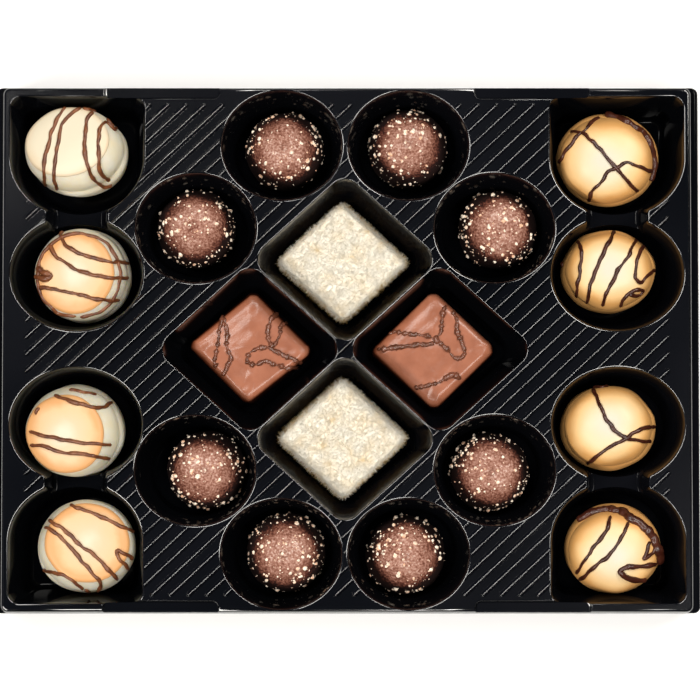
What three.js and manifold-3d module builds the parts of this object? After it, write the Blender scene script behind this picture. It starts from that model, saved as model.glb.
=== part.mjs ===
// A moulded plastic tray of twenty sweets: eight cocoa truffles, four caramel-topped
// white balls, four cream domes, two coconut squares and two milk chocolate squares.
// Millimetres, +Z up, the tray's long side along X, its underside at z = 0.
import * as THREE from "three";
import { mergeVertices } from "three/addons/utils/BufferGeometryUtils.js";
import Module from "manifold-3d";

const wasm = await Module();
wasm.setup();

// Driving dimensions of the tray.
const TRAY_HEIGHT = 26.5;
const DECK_HALF_X = 103.2;
const DECK_HALF_Y = 78.5;
const WALL = 0.8;
const LEDGE_Z = 22.4; // the skirt steps out below this height
const LEDGE_HALF_X = 105.3;
const FOOT_HALF_X = 106.2;
const FOOT_HALF_Y = 80;
const SKIRT_CORNER = 2;
const PATTERN_X = -0.6; // the wells sit this far off the tray's middle

// Wells: half sizes at the rim, and how much the walls lean in. On a square that stands
// on its corner, a wall's thickness (spread) and its lean count for more.
const DRAFT = Math.tan(THREE.MathUtils.degToRad(8));
const ROUND_WELL = { halfX: 18, halfY: 16.4, spread: 1, lean: 1 };
const BALL_WELL = { halfX: 19.8, halfY: 17.1, spread: 1, lean: 1 };
const CORNER_WELL = { halfX: 19.95, halfY: 18, corner: 3.3, spread: 1, lean: 1 };
const SQUARE_WELL = { halfX: 28.4, halfY: 25.8, corner: 5, spread: 1.42, lean: 1.75 };
const ROUND_WELL_PLACES = [
  [-19, 61.2],
  [19, 61.2],
  [-44.75, 36.3],
  [44.75, 36.3],
  [-44.75, -36.3],
  [44.75, -36.3],
  [-19, -61.2],
  [19, -61.2],
];
const BALL_WELL_X = 81;
const BALL_WELL_Y = 22.7;
const CORNER_WELL_Y = 57.75;
const SQUARE_WELL_X = 28.45;
const SQUARE_WELL_Y = 26.9;
const NECK = { halfX: 9, halfY: 6.5, y: 39.8, floor: 15.5 };
const WELL_SIDES = 18;

// Low ribs that run slantwise over the deck, and the four recesses at its long edges.
const RIB = { pitch: 5.09, phase: 1.09, slope: 0.929, foot: 2.2, rise: 0.65 };
const RIB_END = { x: 96.4, y: 73.7 };
const EDGE_RECESS = { start: 38, end: 72.6, depth: 1.2, inner: 75.3 };

// The sweets stand this far above their well's floor and clear of its walls.
const GAP = 0.3;
const FLOOR = WALL + GAP;
const BALL = { radius: 14.4, height: 26, sides: 14 };
const TRUFFLE = { radius: 12, height: 20, sides: 12 };
const SQUARE = { height: 15.2, corner: 2.4, edge: 1.8 };
const DRIZZLE = 0.62; // half width of a poured chocolate line
const THICK_DRIZZLE = 1.25;
const DRIZZLE_STEPS = 4;
const CRUMB = 0.85;
const CRUMBS_ON_A_TRUFFLE = 2;
const SHREDS_ON_A_SQUARE = 12;

const COLOURS = {
  tray: 0x15171b,
  caramelBall: 0xf3dcb0,
  creamDome: 0xf2cf94,
  truffle: 0x6b4335,
  coconut: 0xf1ead6,
  milk: 0xa9694c,
};

// A seeded draw between 0 and 1, so that the crumbs fall the same way each time.
let seed = 20;
function draw() {
  seed = (seed * 16807) % 2147483647;
  return seed / 2147483647;
}

// Turns a closed geometry into a solid that can be joined and cut.
function solid(geometry) {
  const bare = geometry.clone();
  bare.deleteAttribute("normal");
  bare.deleteAttribute("uv");
  const merged = mergeVertices(bare, 1e-4);
  const corners = merged.index.array;
  const kept = [];
  for (let i = 0; i < corners.length; i += 3) {
    const [a, b, c] = corners.slice(i, i + 3);
    if (a !== b && b !== c && c !== a) kept.push(a, b, c);
  }
  return new wasm.Manifold(
    new wasm.Mesh({
      numProp: 3,
      vertProperties: merged.attributes.position.array,
      triVerts: new Uint32Array(kept),
    }),
  );
}

// Gives a solid back as a geometry.
function geometryOf(body) {
  const made = body.getMesh();
  const geometry = new THREE.BufferGeometry();
  geometry.setAttribute(
    "position",
    new THREE.BufferAttribute(new Float32Array(made.vertProperties), 3),
  );
  geometry.setIndex(new THREE.BufferAttribute(new Uint32Array(made.triVerts), 1));
  geometry.computeVertexNormals();
  return geometry;
}

const group = new THREE.Group();

function addPiece(name, geometry, colour, roughness) {
  const material = new THREE.MeshStandardMaterial({ color: colour, roughness, metalness: 0 });
  const mesh = new THREE.Mesh(geometry, material);
  mesh.name = name;
  group.add(mesh);
  return mesh;
}

// A closed body through level outlines that all have the same number of points.
function loft(levels) {
  const sides = levels[0].outline.length;
  const position = levels.flatMap(({ z, outline }) => outline.flatMap(([x, y]) => [x, y, z]));
  const index = [];
  for (let level = 0; level < levels.length - 1; level++) {
    for (let i = 0; i < sides; i++) {
      const a = level * sides + i;
      const b = level * sides + ((i + 1) % sides);
      index.push(a, b, b + sides, a, b + sides, a + sides);
    }
  }
  const top = (levels.length - 1) * sides;
  const flat = levels[0].outline.map(([x, y]) => new THREE.Vector2(x, y));
  for (const [a, b, c] of THREE.ShapeUtils.triangulateShape(flat, [])) {
    index.push(a, c, b, top + a, top + b, top + c);
  }
  const geometry = new THREE.BufferGeometry();
  geometry.setAttribute("position", new THREE.Float32BufferAttribute(position, 3));
  geometry.setIndex(index);
  return geometry;
}

// Outlines run counter-clockwise about their own middle.
function arc(x, y, radius, from, to, steps) {
  return Array.from({ length: steps + 1 }, (_, i) => {
    const angle = from + ((to - from) * i) / steps;
    return [x + radius * Math.cos(angle), y + radius * Math.sin(angle)];
  });
}

function oval(halfX, halfY, sides = WELL_SIDES) {
  return Array.from({ length: sides }, (_, i) => {
    const angle = ((i + 0.5) / sides) * 2 * Math.PI;
    return [halfX * Math.cos(angle), halfY * Math.sin(angle)];
  });
}

function roundedBox(halfX, halfY, corner) {
  const x = halfX - corner;
  const y = halfY - corner;
  const quarter = Math.PI / 2;
  return [
    ...arc(x, y, corner, 0, quarter, 2),
    ...arc(-x, y, corner, quarter, 2 * quarter, 2),
    ...arc(-x, -y, corner, 2 * quarter, 3 * quarter, 2),
    ...arc(x, -y, corner, 3 * quarter, 4 * quarter, 2),
  ];
}

function rectangle(halfX, halfY) {
  return [
    [halfX, halfY],
    [-halfX, halfY],
    [-halfX, -halfY],
    [halfX, -halfY],
  ];
}

// A square on its corner: each corner's arc touches its two sides.
function diamond(halfX, halfY, corner, steps = 2) {
  const side = Math.atan2(halfX, halfY); // the way that the first side faces
  const inX = halfX - corner / Math.cos(side);
  const inY = halfY - corner / Math.sin(side);
  return [
    ...arc(inX, 0, corner, -side, side, steps),
    ...arc(0, inY, corner, side, Math.PI - side, steps),
    ...arc(-inX, 0, corner, Math.PI - side, Math.PI + side, steps),
    ...arc(0, -inY, corner, Math.PI + side, 2 * Math.PI - side, steps),
  ];
}

// Half an oval towards the middle of the tray, and straight sides towards its edge.
function shield(halfX, halfY, corner, edgeSide) {
  const half = Array.from({ length: WELL_SIDES / 2 + 1 }, (_, i) => {
    const angle = Math.PI * (1 + i / (WELL_SIDES / 2));
    return [halfX * Math.cos(angle), halfY * Math.sin(angle)];
  });
  const box = [
    ...arc(halfX - corner, halfY - corner, corner, 0, Math.PI / 2, 3),
    ...arc(-halfX + corner, halfY - corner, corner, Math.PI / 2, Math.PI, 3),
  ];
  const outline = [...half, ...box];
  return edgeSide > 0 ? outline : outline.map(([x, y]) => [x, -y]).reverse();
}

function moved(outline, x, y) {
  return outline.map(([px, py]) => [px + x, py + y]);
}

const wells = [];
for (const [x, y] of ROUND_WELL_PLACES) {
  wells.push({ x: PATTERN_X + x, y, ...ROUND_WELL, shape: oval });
}
for (const side of [-1, 1]) {
  const x = side * BALL_WELL_X;
  for (const end of [-1, 1]) {
    wells.push({ x, y: end * BALL_WELL_Y, ...BALL_WELL, shape: oval });
    const shape = (halfX, halfY) => shield(halfX, halfY, CORNER_WELL.corner, end);
    wells.push({ x, y: end * CORNER_WELL_Y, ...CORNER_WELL, shape });
  }
}
const squareWells = [
  [0, SQUARE_WELL_Y],
  [0, -SQUARE_WELL_Y],
  [-SQUARE_WELL_X, 0],
  [SQUARE_WELL_X, 0],
];
for (const [x, y] of squareWells) {
  const shape = (halfX, halfY) =>
    diamond(halfX, halfY, (SQUARE_WELL.corner * halfX) / SQUARE_WELL.halfX);
  wells.push({ x: PATTERN_X + x, y, ...SQUARE_WELL, shape });
}

// A well between two heights. "out" is the wall's thickness on its outer side.
function wellSolid({ x, y, halfX, halfY, shape, spread, lean }, from, to, out) {
  const level = (z) => {
    const grow = out * spread - (TRAY_HEIGHT - z) * DRAFT * lean;
    return { z, outline: moved(shape(halfX + grow, halfY + grow), x, y) };
  };
  return solid(loft([level(from), level(to)]));
}

function box(x0, x1, y0, y1, z0, z1) {
  const geometry = new THREE.BoxGeometry(x1 - x0, y1 - y0, z1 - z0);
  geometry.translate((x0 + x1) / 2, (y0 + y1) / 2, (z0 + z1) / 2);
  return solid(geometry);
}

// The skirt's outside, or its inside when it is drawn in by the wall.
function skirt(inset, foot) {
  const level = (z, halfX, halfY) => ({
    z,
    outline: roundedBox(halfX - inset, halfY - inset, SKIRT_CORNER),
  });
  return solid(
    loft([
      level(foot, FOOT_HALF_X, FOOT_HALF_Y),
      level(LEDGE_Z - inset, LEDGE_HALF_X, DECK_HALF_Y + 0.6),
      level(LEDGE_Z - inset, DECK_HALF_X + 0.4, DECK_HALF_Y + 0.4),
      level(TRAY_HEIGHT - inset, DECK_HALF_X, DECK_HALF_Y),
    ]),
  );
}

function edgeRecesses(out, bottom) {
  const { start, end, inner } = EDGE_RECESS;
  const blocks = [-1, 1].flatMap((sideX) =>
    [-1, 1].map((sideY) => {
      const xs = [sideX * (start - out), sideX * (end + out)].sort((a, b) => a - b);
      const ys = [sideY * (inner - out), sideY * (FOOT_HALF_Y + 1)].sort((a, b) => a - b);
      return box(xs[0], xs[1], ys[0], ys[1], bottom, TRAY_HEIGHT + 2);
    }),
  );
  return wasm.Manifold.union(blocks);
}

// The dips that join each pair of side wells, where a finger reaches in.
function necks(out, bottom, top) {
  const blocks = [-1, 1].flatMap((sideX) =>
    [-1, 1].map((sideY) => {
      const level = (z, lean) => ({
        z,
        outline: moved(
          rectangle(NECK.halfX + out - lean, NECK.halfY + out),
          sideX * BALL_WELL_X,
          sideY * NECK.y,
        ),
      });
      return solid(loft([level(bottom, 0.8), level(top, 0)]));
    }),
  );
  return wasm.Manifold.union(blocks);
}

// One low ridge from border to border. Where it meets a well, the well cuts it.
function rib(offset) {
  const across = (x) => RIB.slope * x + offset;
  const along = (y) => (y - offset) / RIB.slope;
  const startX = Math.max(-RIB_END.x, along(-RIB_END.y));
  const endX = Math.min(RIB_END.x, along(RIB_END.y));
  if (endX - startX < 2) return null;
  const start = new THREE.Vector2(startX, across(startX));
  const end = new THREE.Vector2(endX, across(endX));
  const way = end.clone().sub(start).normalize();
  const aside = new THREE.Vector2(-way.y, way.x);
  const half = RIB.foot / 2;
  const foot = TRAY_HEIGHT - WALL / 2;
  const corners = [start, end].flatMap((point) => [
    [...point.clone().addScaledVector(aside, -half), foot],
    [...point.clone().addScaledVector(aside, half), foot],
    [...point, TRAY_HEIGHT + RIB.rise],
  ]);
  const geometry = new THREE.BufferGeometry();
  geometry.setAttribute("position", new THREE.Float32BufferAttribute(corners.flat(), 3));
  geometry.setIndex([0, 2, 1, 3, 4, 5, 0, 1, 4, 0, 4, 3, 1, 2, 5, 1, 5, 4, 2, 0, 3, 2, 3, 5]);
  return solid(geometry);
}

function ribs() {
  const reach = RIB_END.y + RIB.slope * RIB_END.x;
  const count = Math.floor(reach / RIB.pitch);
  const bars = [];
  for (let k = -count; k <= count; k++) {
    const bar = rib(RIB.phase + k * RIB.pitch);
    if (bar) bars.push(bar);
  }
  return wasm.Manifold.union(bars);
}

function tray() {
  const recessFloor = TRAY_HEIGHT - EDGE_RECESS.depth;
  const hollow = skirt(WALL, -1).subtract(edgeRecesses(WALL, recessFloor - WALL));
  const outerWells = wasm.Manifold.union(
    wells.map((well) => wellSolid(well, 0, TRAY_HEIGHT - WALL / 2, WALL)),
  );
  const innerWells = wasm.Manifold.union(
    wells.map((well) => wellSolid(well, WALL, TRAY_HEIGHT + 2, 0)),
  );
  return skirt(0, 0)
    .subtract(hollow)
    .add(ribs())
    .add(outerWells)
    .add(necks(WALL, NECK.floor - WALL, TRAY_HEIGHT - WALL / 2))
    .subtract(edgeRecesses(0, recessFloor))
    .subtract(innerWells)
    .subtract(necks(0, NECK.floor, TRAY_HEIGHT + 2));
}

addPiece("tray", geometryOf(tray()), COLOURS.tray, 0.2);

// A turned body about Z, from [radius, height] pairs that start and end on the axis.
function turned(profile, sides) {
  const points = profile.map(([r, z]) => new THREE.Vector2(r, z));
  const geometry = new THREE.LatheGeometry(points, sides);
  geometry.rotateX(Math.PI / 2);
  return geometry;
}

// Centres a body and brings it to its full size each way.
function fit(geometry, wide, deep, tall) {
  geometry.center();
  const size = geometry.boundingBox.getSize(new THREE.Vector3());
  geometry.scale(wide / size.x, deep / size.y, tall / size.z);
}

// Rests a body on its lowest point, above the floor of its well.
function rest(geometry, x, y) {
  geometry.computeBoundingBox();
  geometry.translate(x, y, FLOOR - geometry.boundingBox.min.z);
  return geometry;
}

// A poured line over a sweet: it starts, bends and ends above three points of the
// sweet's plan, and lies on whatever is under it.
function pouredLine(under, x, y, [x0, y0, x1, y1, x2, y2], width) {
  const ray = new THREE.Raycaster();
  const down = new THREE.Vector3(0, 0, -1);
  const flat = new THREE.CatmullRomCurve3([
    new THREE.Vector3(x0, y0, 0),
    new THREE.Vector3(x1, y1, 0),
    new THREE.Vector3(x2, y2, 0),
  ]);
  const draped = flat.getSpacedPoints(DRIZZLE_STEPS).map((point) => {
    for (let pull = 1; pull > 0.5; pull -= 0.02) {
      const above = new THREE.Vector3(x + point.x * pull, y + point.y * pull, 60);
      ray.set(above, down);
      const [hit] = ray.intersectObject(under);
      if (hit) return hit.point.setZ(hit.point.z + width * 0.5);
    }
    return null;
  });
  const path = new THREE.CatmullRomCurve3(draped.filter(Boolean));
  const corners = arc(0, 0, width, 0, (4 / 3) * Math.PI, 2);
  const section = new THREE.Shape(corners.map(([px, py]) => new THREE.Vector2(px, py)));
  return solid(
    new THREE.ExtrudeGeometry(section, {
      extrudePath: path,
      steps: DRIZZLE_STEPS,
      bevelEnabled: false,
    }),
  );
}

// Joins poured lines to a sweet.
function drizzled(geometry, x, y, lines, thickLines = []) {
  const under = new THREE.Mesh(geometry, new THREE.MeshBasicMaterial({ side: THREE.DoubleSide }));
  under.updateMatrixWorld();
  const poured = [
    ...lines.map((line) => pouredLine(under, x, y, line, DRIZZLE)),
    ...thickLines.map((line) => pouredLine(under, x, y, line, THICK_DRIZZLE)),
  ];
  return geometryOf(wasm.Manifold.union([solid(geometry), ...poured]));
}

// White balls with a caramel disc on top. Each leans in its well.
const BALL_PROFILE = [
  [0, 0],
  [0.52, 0],
  [0.86, 0.14],
  [1, 0.4],
  [0.96, 0.5],
  [0.98, 0.62],
  [0.85, 0.92],
  [0.5, 0.98],
  [0, 1],
];
const caramelBalls = [
  {
    x: -82, y: 60.2, wide: 31, deep: 26.6, tall: 27.4, lean: 17, towards: 130,
    lines: [
      [-3.6, 12, -8.6, 2.6, -9.3, -10], [1.1, 12, -5.2, 3, -6.1, -12],
      [4.5, 11, 2.2, 0, 8.5, -9],
    ],
  },
  {
    x: -79.9, y: 22.7, wide: 29, deep: 28.6, tall: 26.4, lean: 9, towards: 180,
    lines: [
      [-6.3, 12, 1.5, 6, 13, 4], [-10, 9.4, -1.2, 1.5, 13, -0.5],
      [-13, -3.8, -2.6, -5.4, 10.8, -7.2],
    ],
  },
  {
    x: -82.2, y: -23.4, wide: 29, deep: 27.4, tall: 27, lean: 14, towards: 190,
    lines: [
      [-6.6, 11.4, 2.7, 8.5, 11.4, 8], [-13, 0.7, -2.6, -2, 11.4, -3.6],
      [-13, -3.3, 2, -6, 12, -7.2],
    ],
  },
  {
    x: -78.8, y: -59.2, wide: 30, deep: 28.4, tall: 26.6, lean: 9, towards: 50,
    lines: [
      [-5.3, 12.5, 5, 9, 13, 4.9], [-11.2, 8.4, -2.1, 1.3, 9.5, -9.5],
      [-12.3, 5.9, -3.9, -0.4, 4.3, -10.5], [-13.3, -5.4, -5.1, -9, 1.5, -12.3],
    ],
  },
];
caramelBalls.forEach(({ x, y, wide, deep, tall, lean, towards, lines }, i) => {
  const profile = BALL_PROFILE.map(([r, z]) => [r * BALL.radius, z * BALL.height]);
  const body = turned(profile, BALL.sides);
  const way = THREE.MathUtils.degToRad(towards);
  const axis = new THREE.Vector3(-Math.sin(way), Math.cos(way), 0);
  body.applyQuaternion(
    new THREE.Quaternion().setFromAxisAngle(axis, THREE.MathUtils.degToRad(lean)),
  );
  fit(body, wide, deep, tall);
  addPiece(`caramel_ball_${i + 1}`, drizzled(rest(body, x, y), x, y, lines),
    COLOURS.caramelBall, 0.4);
});

// Round cream domes with dark poured lines.
const DOME_PROFILE = [
  [0, 0],
  [0.5, 0],
  [0.84, 0.14],
  [1, 0.42],
  [0.95, 0.65],
  [0.78, 0.84],
  [0.42, 0.965],
  [0, 1],
];
const creamDomes = [
  {
    x: 79.05, y: 57.95, wide: 29.6, deep: 27.2,
    lines: [
      [-1.7, 12, -8, 6.5, -13, 0], [-10.4, 8.2, -1, 3, 9.2, -9.3],
      [-5.2, -11.8, 2.4, -2, 12.6, -3],
    ],
    thick: [[-0.7, 12.6, 10, 7.6, 12.2, -5.5]],
  },
  {
    x: 79.4, y: 24.1, wide: 28.4, deep: 25.4,
    lines: [
      [-9.6, 8, -7.7, 2, -9, -8.6], [3, 12, -1.7, 2.6, -6, -10.6],
      [9, 8.6, 4, 0, -1.8, -11.6],
    ],
  },
  {
    x: 79.2, y: -23.4, wide: 28.8, deep: 26,
    lines: [[-4.9, 11.2, -0.2, 1.5, 12.6, -4.7], [-6.3, -10.8, 2.6, -4.7, 13, -0.3]],
  },
  {
    x: 80.4, y: -59.9, wide: 29.2, deep: 27,
    lines: [
      [-0.8, 10.1, -4, 2.4, -11, -7.4], [4.5, 8.7, 0, -0.2, -9.8, -8.8],
      [12.4, -4.2, 3, -6.6, 11.2, -8.2],
    ],
    thick: [[-10.4, 7, 1.5, 11, 12.6, 1.5]],
  },
];
creamDomes.forEach(({ x, y, wide, deep, lines, thick }, i) => {
  const profile = DOME_PROFILE.map(([r, z]) => [r * BALL.radius, z * BALL.height]);
  const body = turned(profile, BALL.sides);
  fit(body, wide, deep, BALL.height);
  addPiece(`cream_dome_${i + 1}`, drizzled(rest(body, x, y), x, y, lines, thick),
    COLOURS.creamDome, 0.4);
});

// Cocoa truffles with a small tip, and the largest crumbs round their flanks.
const TRUFFLE_PROFILE = [
  [0, 0],
  [0.66, 0],
  [0.92, 0.12],
  [1, 0.32],
  [0.93, 0.58],
  [0.66, 0.83],
  [0.14, 0.965],
  [0, 1],
];
const TRUFFLE_PLACES = [
  [-19.1, 61.2],
  [18.5, 62.1],
  [-46.1, 37.4],
  [46.1, 37.1],
  [-42.9, -36.3],
  [43.4, -36.7],
  [-18.5, -61.3],
  [17.7, -61.9],
];
function crumb(angle, height) {
  const body = new THREE.OctahedronGeometry(CRUMB * (0.8 + 0.5 * draw()));
  const radius = TRUFFLE.radius * Math.sqrt(1 - height * height);
  body.rotateZ(draw() * Math.PI);
  body.translate(radius * Math.cos(angle), radius * Math.sin(angle),
    TRUFFLE.height * (0.32 + 0.6 * height));
  return solid(body);
}
TRUFFLE_PLACES.forEach(([x, y], i) => {
  const profile = TRUFFLE_PROFILE.map(([r, z]) => [r * TRUFFLE.radius, z * TRUFFLE.height]);
  const crumbs = Array.from({ length: CRUMBS_ON_A_TRUFFLE }, (_, k) =>
    crumb(((k + 0.7 * draw()) / CRUMBS_ON_A_TRUFFLE) * 2 * Math.PI, 0.3 + 0.35 * draw()),
  );
  const body = wasm.Manifold.union([solid(turned(profile, TRUFFLE.sides)), ...crumbs]);
  addPiece(`cocoa_truffle_${i + 1}`, rest(geometryOf(body), x, y), COLOURS.truffle, 0.8);
});

// A square sweet on its corner, with rounded edges and a slightly crowned top.
function squareBody(halfX, halfY, height, turn) {
  const level = (z, inset) => ({
    z,
    outline: diamond(halfX - inset * 1.4, halfY - inset * 1.4, SQUARE.corner),
  });
  const { edge } = SQUARE;
  const body = loft([
    level(0, 0.7),
    level(1, 0),
    level(height - edge, 0.2),
    level(height - 0.4 * edge, 0.2 + 0.4 * edge),
    level(height, 0.2 + edge),
  ]);
  body.rotateZ(THREE.MathUtils.degToRad(turn));
  return body;
}

// Shreds of coconut that stand out of the sides and the top's edges.
function shred(halfX, halfY, height) {
  const around = draw() * 2 * Math.PI;
  const [cx, cy] = [Math.cos(around), Math.sin(around)];
  const reach = 1 / (Math.abs(cx) / halfX + Math.abs(cy) / halfY);
  const body = new THREE.ConeGeometry(0.5, 3.4, 3);
  body.rotateX(Math.PI / 2);
  body.rotateY(0.5 + 0.7 * draw());
  body.rotateZ(Math.atan2(cy, cx) + draw() - 0.5);
  body.translate(cx * reach, cy * reach, height * (0.4 + 0.52 * draw()));
  return solid(body);
}
const coconutSquares = [
  { x: -1.4, y: 26.9, halfX: 19, halfY: 17.4 },
  { x: -1.4, y: -26.6, halfX: 19, halfY: 17.4 },
];
coconutSquares.forEach(({ x, y, halfX, halfY }, i) => {
  const body = solid(squareBody(halfX, halfY, SQUARE.height, 0));
  const shreds = Array.from({ length: SHREDS_ON_A_SQUARE }, () =>
    shred(halfX - 0.8, halfY - 0.8, SQUARE.height),
  );
  const joined = geometryOf(wasm.Manifold.union([body, ...shreds]));
  addPiece(`coconut_square_${i + 1}`, rest(joined, x, y), COLOURS.coconut, 0.9);
});

// Milk chocolate squares with thin poured lines.
const milkSquares = [
  {
    x: -29.2, y: 0.9, halfX: 19, halfY: 17.8, turn: -3,
    lines: [
      [-8.2, 8.4, -9.6, 1.5, -9.6, -6], [-7.6, 8.6, -6.6, 0, -8.2, -7.6],
      [13.2, -3.8, 8, -1.2, 2, 0], [0, -4.9, 5, -4.8, 13.2, -4.4],
    ],
  },
  {
    x: 26.2, y: 0.1, halfX: 18.5, halfY: 17.6, turn: 0,
    lines: [
      [4.6, 11.4, 2.7, 6, 1.2, 3], [-14, 3.9, -6.4, 4.6, 1.2, 3],
      [-5, -10.6, 1.6, -10, 7, -7.8],
    ],
  },
];
milkSquares.forEach(({ x, y, halfX, halfY, turn, lines }, i) => {
  const body = rest(squareBody(halfX, halfY, SQUARE.height - 0.4, turn), x, y);
  addPiece(`milk_square_${i + 1}`, drizzled(body, x, y, lines), COLOURS.milk, 0.35);
});

export default group;
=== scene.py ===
"""A black moulded tray that holds twenty sweets, seen from straight above on a white table."""
import math

import bmesh
import bpy
import numpy as np
from mathutils import Matrix, Vector, noise


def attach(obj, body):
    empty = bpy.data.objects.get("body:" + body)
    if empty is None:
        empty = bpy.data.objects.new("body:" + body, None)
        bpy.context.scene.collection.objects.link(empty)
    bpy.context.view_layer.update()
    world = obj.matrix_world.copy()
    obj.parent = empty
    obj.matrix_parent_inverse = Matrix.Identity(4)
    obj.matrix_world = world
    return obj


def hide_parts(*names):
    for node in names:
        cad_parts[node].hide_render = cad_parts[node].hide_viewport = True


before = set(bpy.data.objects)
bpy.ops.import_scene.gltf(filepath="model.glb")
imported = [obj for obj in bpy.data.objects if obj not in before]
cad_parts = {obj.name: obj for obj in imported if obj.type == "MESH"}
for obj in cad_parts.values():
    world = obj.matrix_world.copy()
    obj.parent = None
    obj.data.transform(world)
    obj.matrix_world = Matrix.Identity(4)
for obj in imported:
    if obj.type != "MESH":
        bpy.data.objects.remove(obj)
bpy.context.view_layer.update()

# ---------------------------------------------------------------------------------------
# The tray: one sheet of black polystyrene, drawn by vacuum over a mould. Its deck has low
# slanting ribs and sixteen deep wells, and its edge turns down into a stepped skirt.
# It is made like the sheet: skirt and shells joined, then every hollow cut with a soft rim.
# ---------------------------------------------------------------------------------------
MM = 0.001
DECK = 26.5
DECK_HALF = (103.2, 78.5)
LEDGE_HEIGHT = 22.4
LEDGE_HALF_X = 105.9
LEDGE_ROUNDING = 1.1
FOOT_HALF = (106.2, 80.0)
SHEET = 0.8
EDGE_ROUNDING = 0.9
SKIRT_CORNER = 2.0
WALL_LEAN = 0.6
PATTERN_X = -0.6
DRAFT = math.tan(math.radians(8))
SIDES = 96


def colour(hex_code):
    """An sRGB hex code as linear red, green, blue and alpha."""
    channels = [int(hex_code[i:i + 2], 16) / 255 for i in (1, 3, 5)]
    linear = [c / 12.92 if c <= 0.04045 else ((c + 0.055) / 1.055) ** 2.4 for c in channels]
    return (*linear, 1.0)


def feed(tree, node, inputs):
    """Links an input that is given a socket or a node, and sets any other value."""
    for key, value in dict(enumerate(inputs) if isinstance(inputs, tuple) else inputs).items():
        if isinstance(value, bpy.types.Node):
            value = value.outputs[0]
        if isinstance(value, bpy.types.NodeSocket):
            tree.links.new(value, node.inputs[key])
        else:
            node.inputs[key].default_value = value
    return node


def add(tree, kind, inputs=(), stops=(), **settings):
    """Adds a node with its inputs and settings. A kind in capitals is a sum that a Math node
    does, and stops are a colour ramp's positions with their hex codes."""
    if kind.isupper():
        kind, settings = "ShaderNodeMath", {"operation": kind}
    node = tree.nodes.new(kind)
    for name, value in settings.items():
        setattr(node, name, value)
    if stops:
        ramp = node.color_ramp.elements
        ramp[0].position, ramp[0].color = stops[0][0], colour(stops[0][1])
        ramp[1].position, ramp[1].color = stops[-1][0], colour(stops[-1][1])
        for position, code in stops[1:-1]:
            ramp.new(position).color = colour(code)
    return feed(tree, node, inputs)


def new_material(name):
    """A material with its node tree and its Principled shader."""
    made = bpy.data.materials.new(name)
    made.use_nodes = True
    return made, made.node_tree, made.node_tree.nodes["Principled BSDF"]


def mesh_object(name, points, faces, material=None):
    """A smooth mesh from points in millimetres."""
    mesh = bpy.data.meshes.new(name)
    mesh.from_pydata((np.asarray(points, float) * MM).tolist(), [], faces)
    mesh.update()
    mesh.shade_smooth()
    if material:
        mesh.materials.append(material)
    made = bpy.data.objects.new(name, mesh)
    bpy.context.scene.collection.objects.link(made)
    return made


def plain(thing):
    """The object with its modifiers worked in, as a plain mesh."""
    graph = bpy.context.evaluated_depsgraph_get()
    mesh = bpy.data.meshes.new_from_object(thing.evaluated_get(graph))
    old = thing.data
    thing.modifiers.clear()
    thing.data = mesh
    bpy.data.meshes.remove(old)
    return thing


def ring_faces(first, rings, sides):
    """Faces between rings of points that follow each other from the first point on."""
    faces = []
    for start in range(first, first + (rings - 1) * sides, sides):
        for i in range(sides):
            a, b = start + i, start + (i + 1) % sides
            faces.append((a, b, b + sides, a + sides))
    return faces


def loft(levels):
    """Points and faces of a closed body through level outlines of equal length."""
    sides = len(levels[0][0])
    points = [(x, y, z) for outline, z in levels for x, y in outline]
    faces = ring_faces(0, len(levels), sides)
    faces.append(tuple(reversed(range(sides))))
    faces.append(tuple(range(len(points) - sides, len(points))))
    return points, faces


def moved(levels, x, y):
    """The same level outlines in another place."""
    return [([(px + x, py + y) for px, py in outline], z) for outline, z in levels]


def combine(base, operation, others):
    """Joins or cuts the base with other closed bodies, which are then gone."""
    operands = bpy.data.collections.new("operands")
    for other in others:
        operands.objects.link(other)
    step = base.modifiers.new("cut", "BOOLEAN")
    step.operation = operation
    step.solver = "MANIFOLD"
    step.operand_type = "COLLECTION"
    step.collection = operands
    plain(base)
    for other in others:
        bpy.data.objects.remove(other)
    bpy.data.collections.remove(operands)
    return base


def arc(x, y, radius, start, end, steps):
    """Points on a circle, with its angles in radians."""
    turns = [start + (end - start) * i / steps for i in range(steps + 1)]
    return [(x + radius * math.cos(t), y + radius * math.sin(t)) for t in turns]


def quarter_turn(steps):
    """Pairs of 1 - cos and 1 - sin, which round an edge in a number of steps."""
    turns = [math.radians(90 * k / steps) for k in range(steps + 1)]
    return [(1 - math.cos(turn), 1 - math.sin(turn)) for turn in turns]


def oval(half_x, half_y, out=0.0):
    turns = [2 * math.pi * (i + 0.5) / SIDES for i in range(SIDES)]
    return [((half_x + out) * math.cos(t), (half_y + out) * math.sin(t)) for t in turns]


def rounded_box(half_x, half_y, corner, out=0.0, steps=8):
    x, y, radius = half_x - corner, half_y - corner, corner + out
    quarter = math.pi / 2
    centres = ((x, y), (-x, y), (-x, -y), (x, -y))
    return [
        point
        for k, (cx, cy) in enumerate(centres)
        for point in arc(cx, cy, radius, k * quarter, (k + 1) * quarter, steps)
    ]


def diamond(half_x, half_y, corner, out=0.0, steps=12):
    """A square that stands on its corner: each corner's arc touches its two sides."""
    side = math.atan2(half_x, half_y)
    in_x = half_x - corner / math.cos(side)
    in_y = half_y - corner / math.sin(side)
    radius = corner + out
    return [
        *arc(in_x, 0, radius, -side, side, steps),
        *arc(0, in_y, radius, side, math.pi - side, steps),
        *arc(-in_x, 0, radius, math.pi - side, math.pi + side, steps),
        *arc(0, -in_y, radius, math.pi + side, 2 * math.pi - side, steps),
    ]


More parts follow.
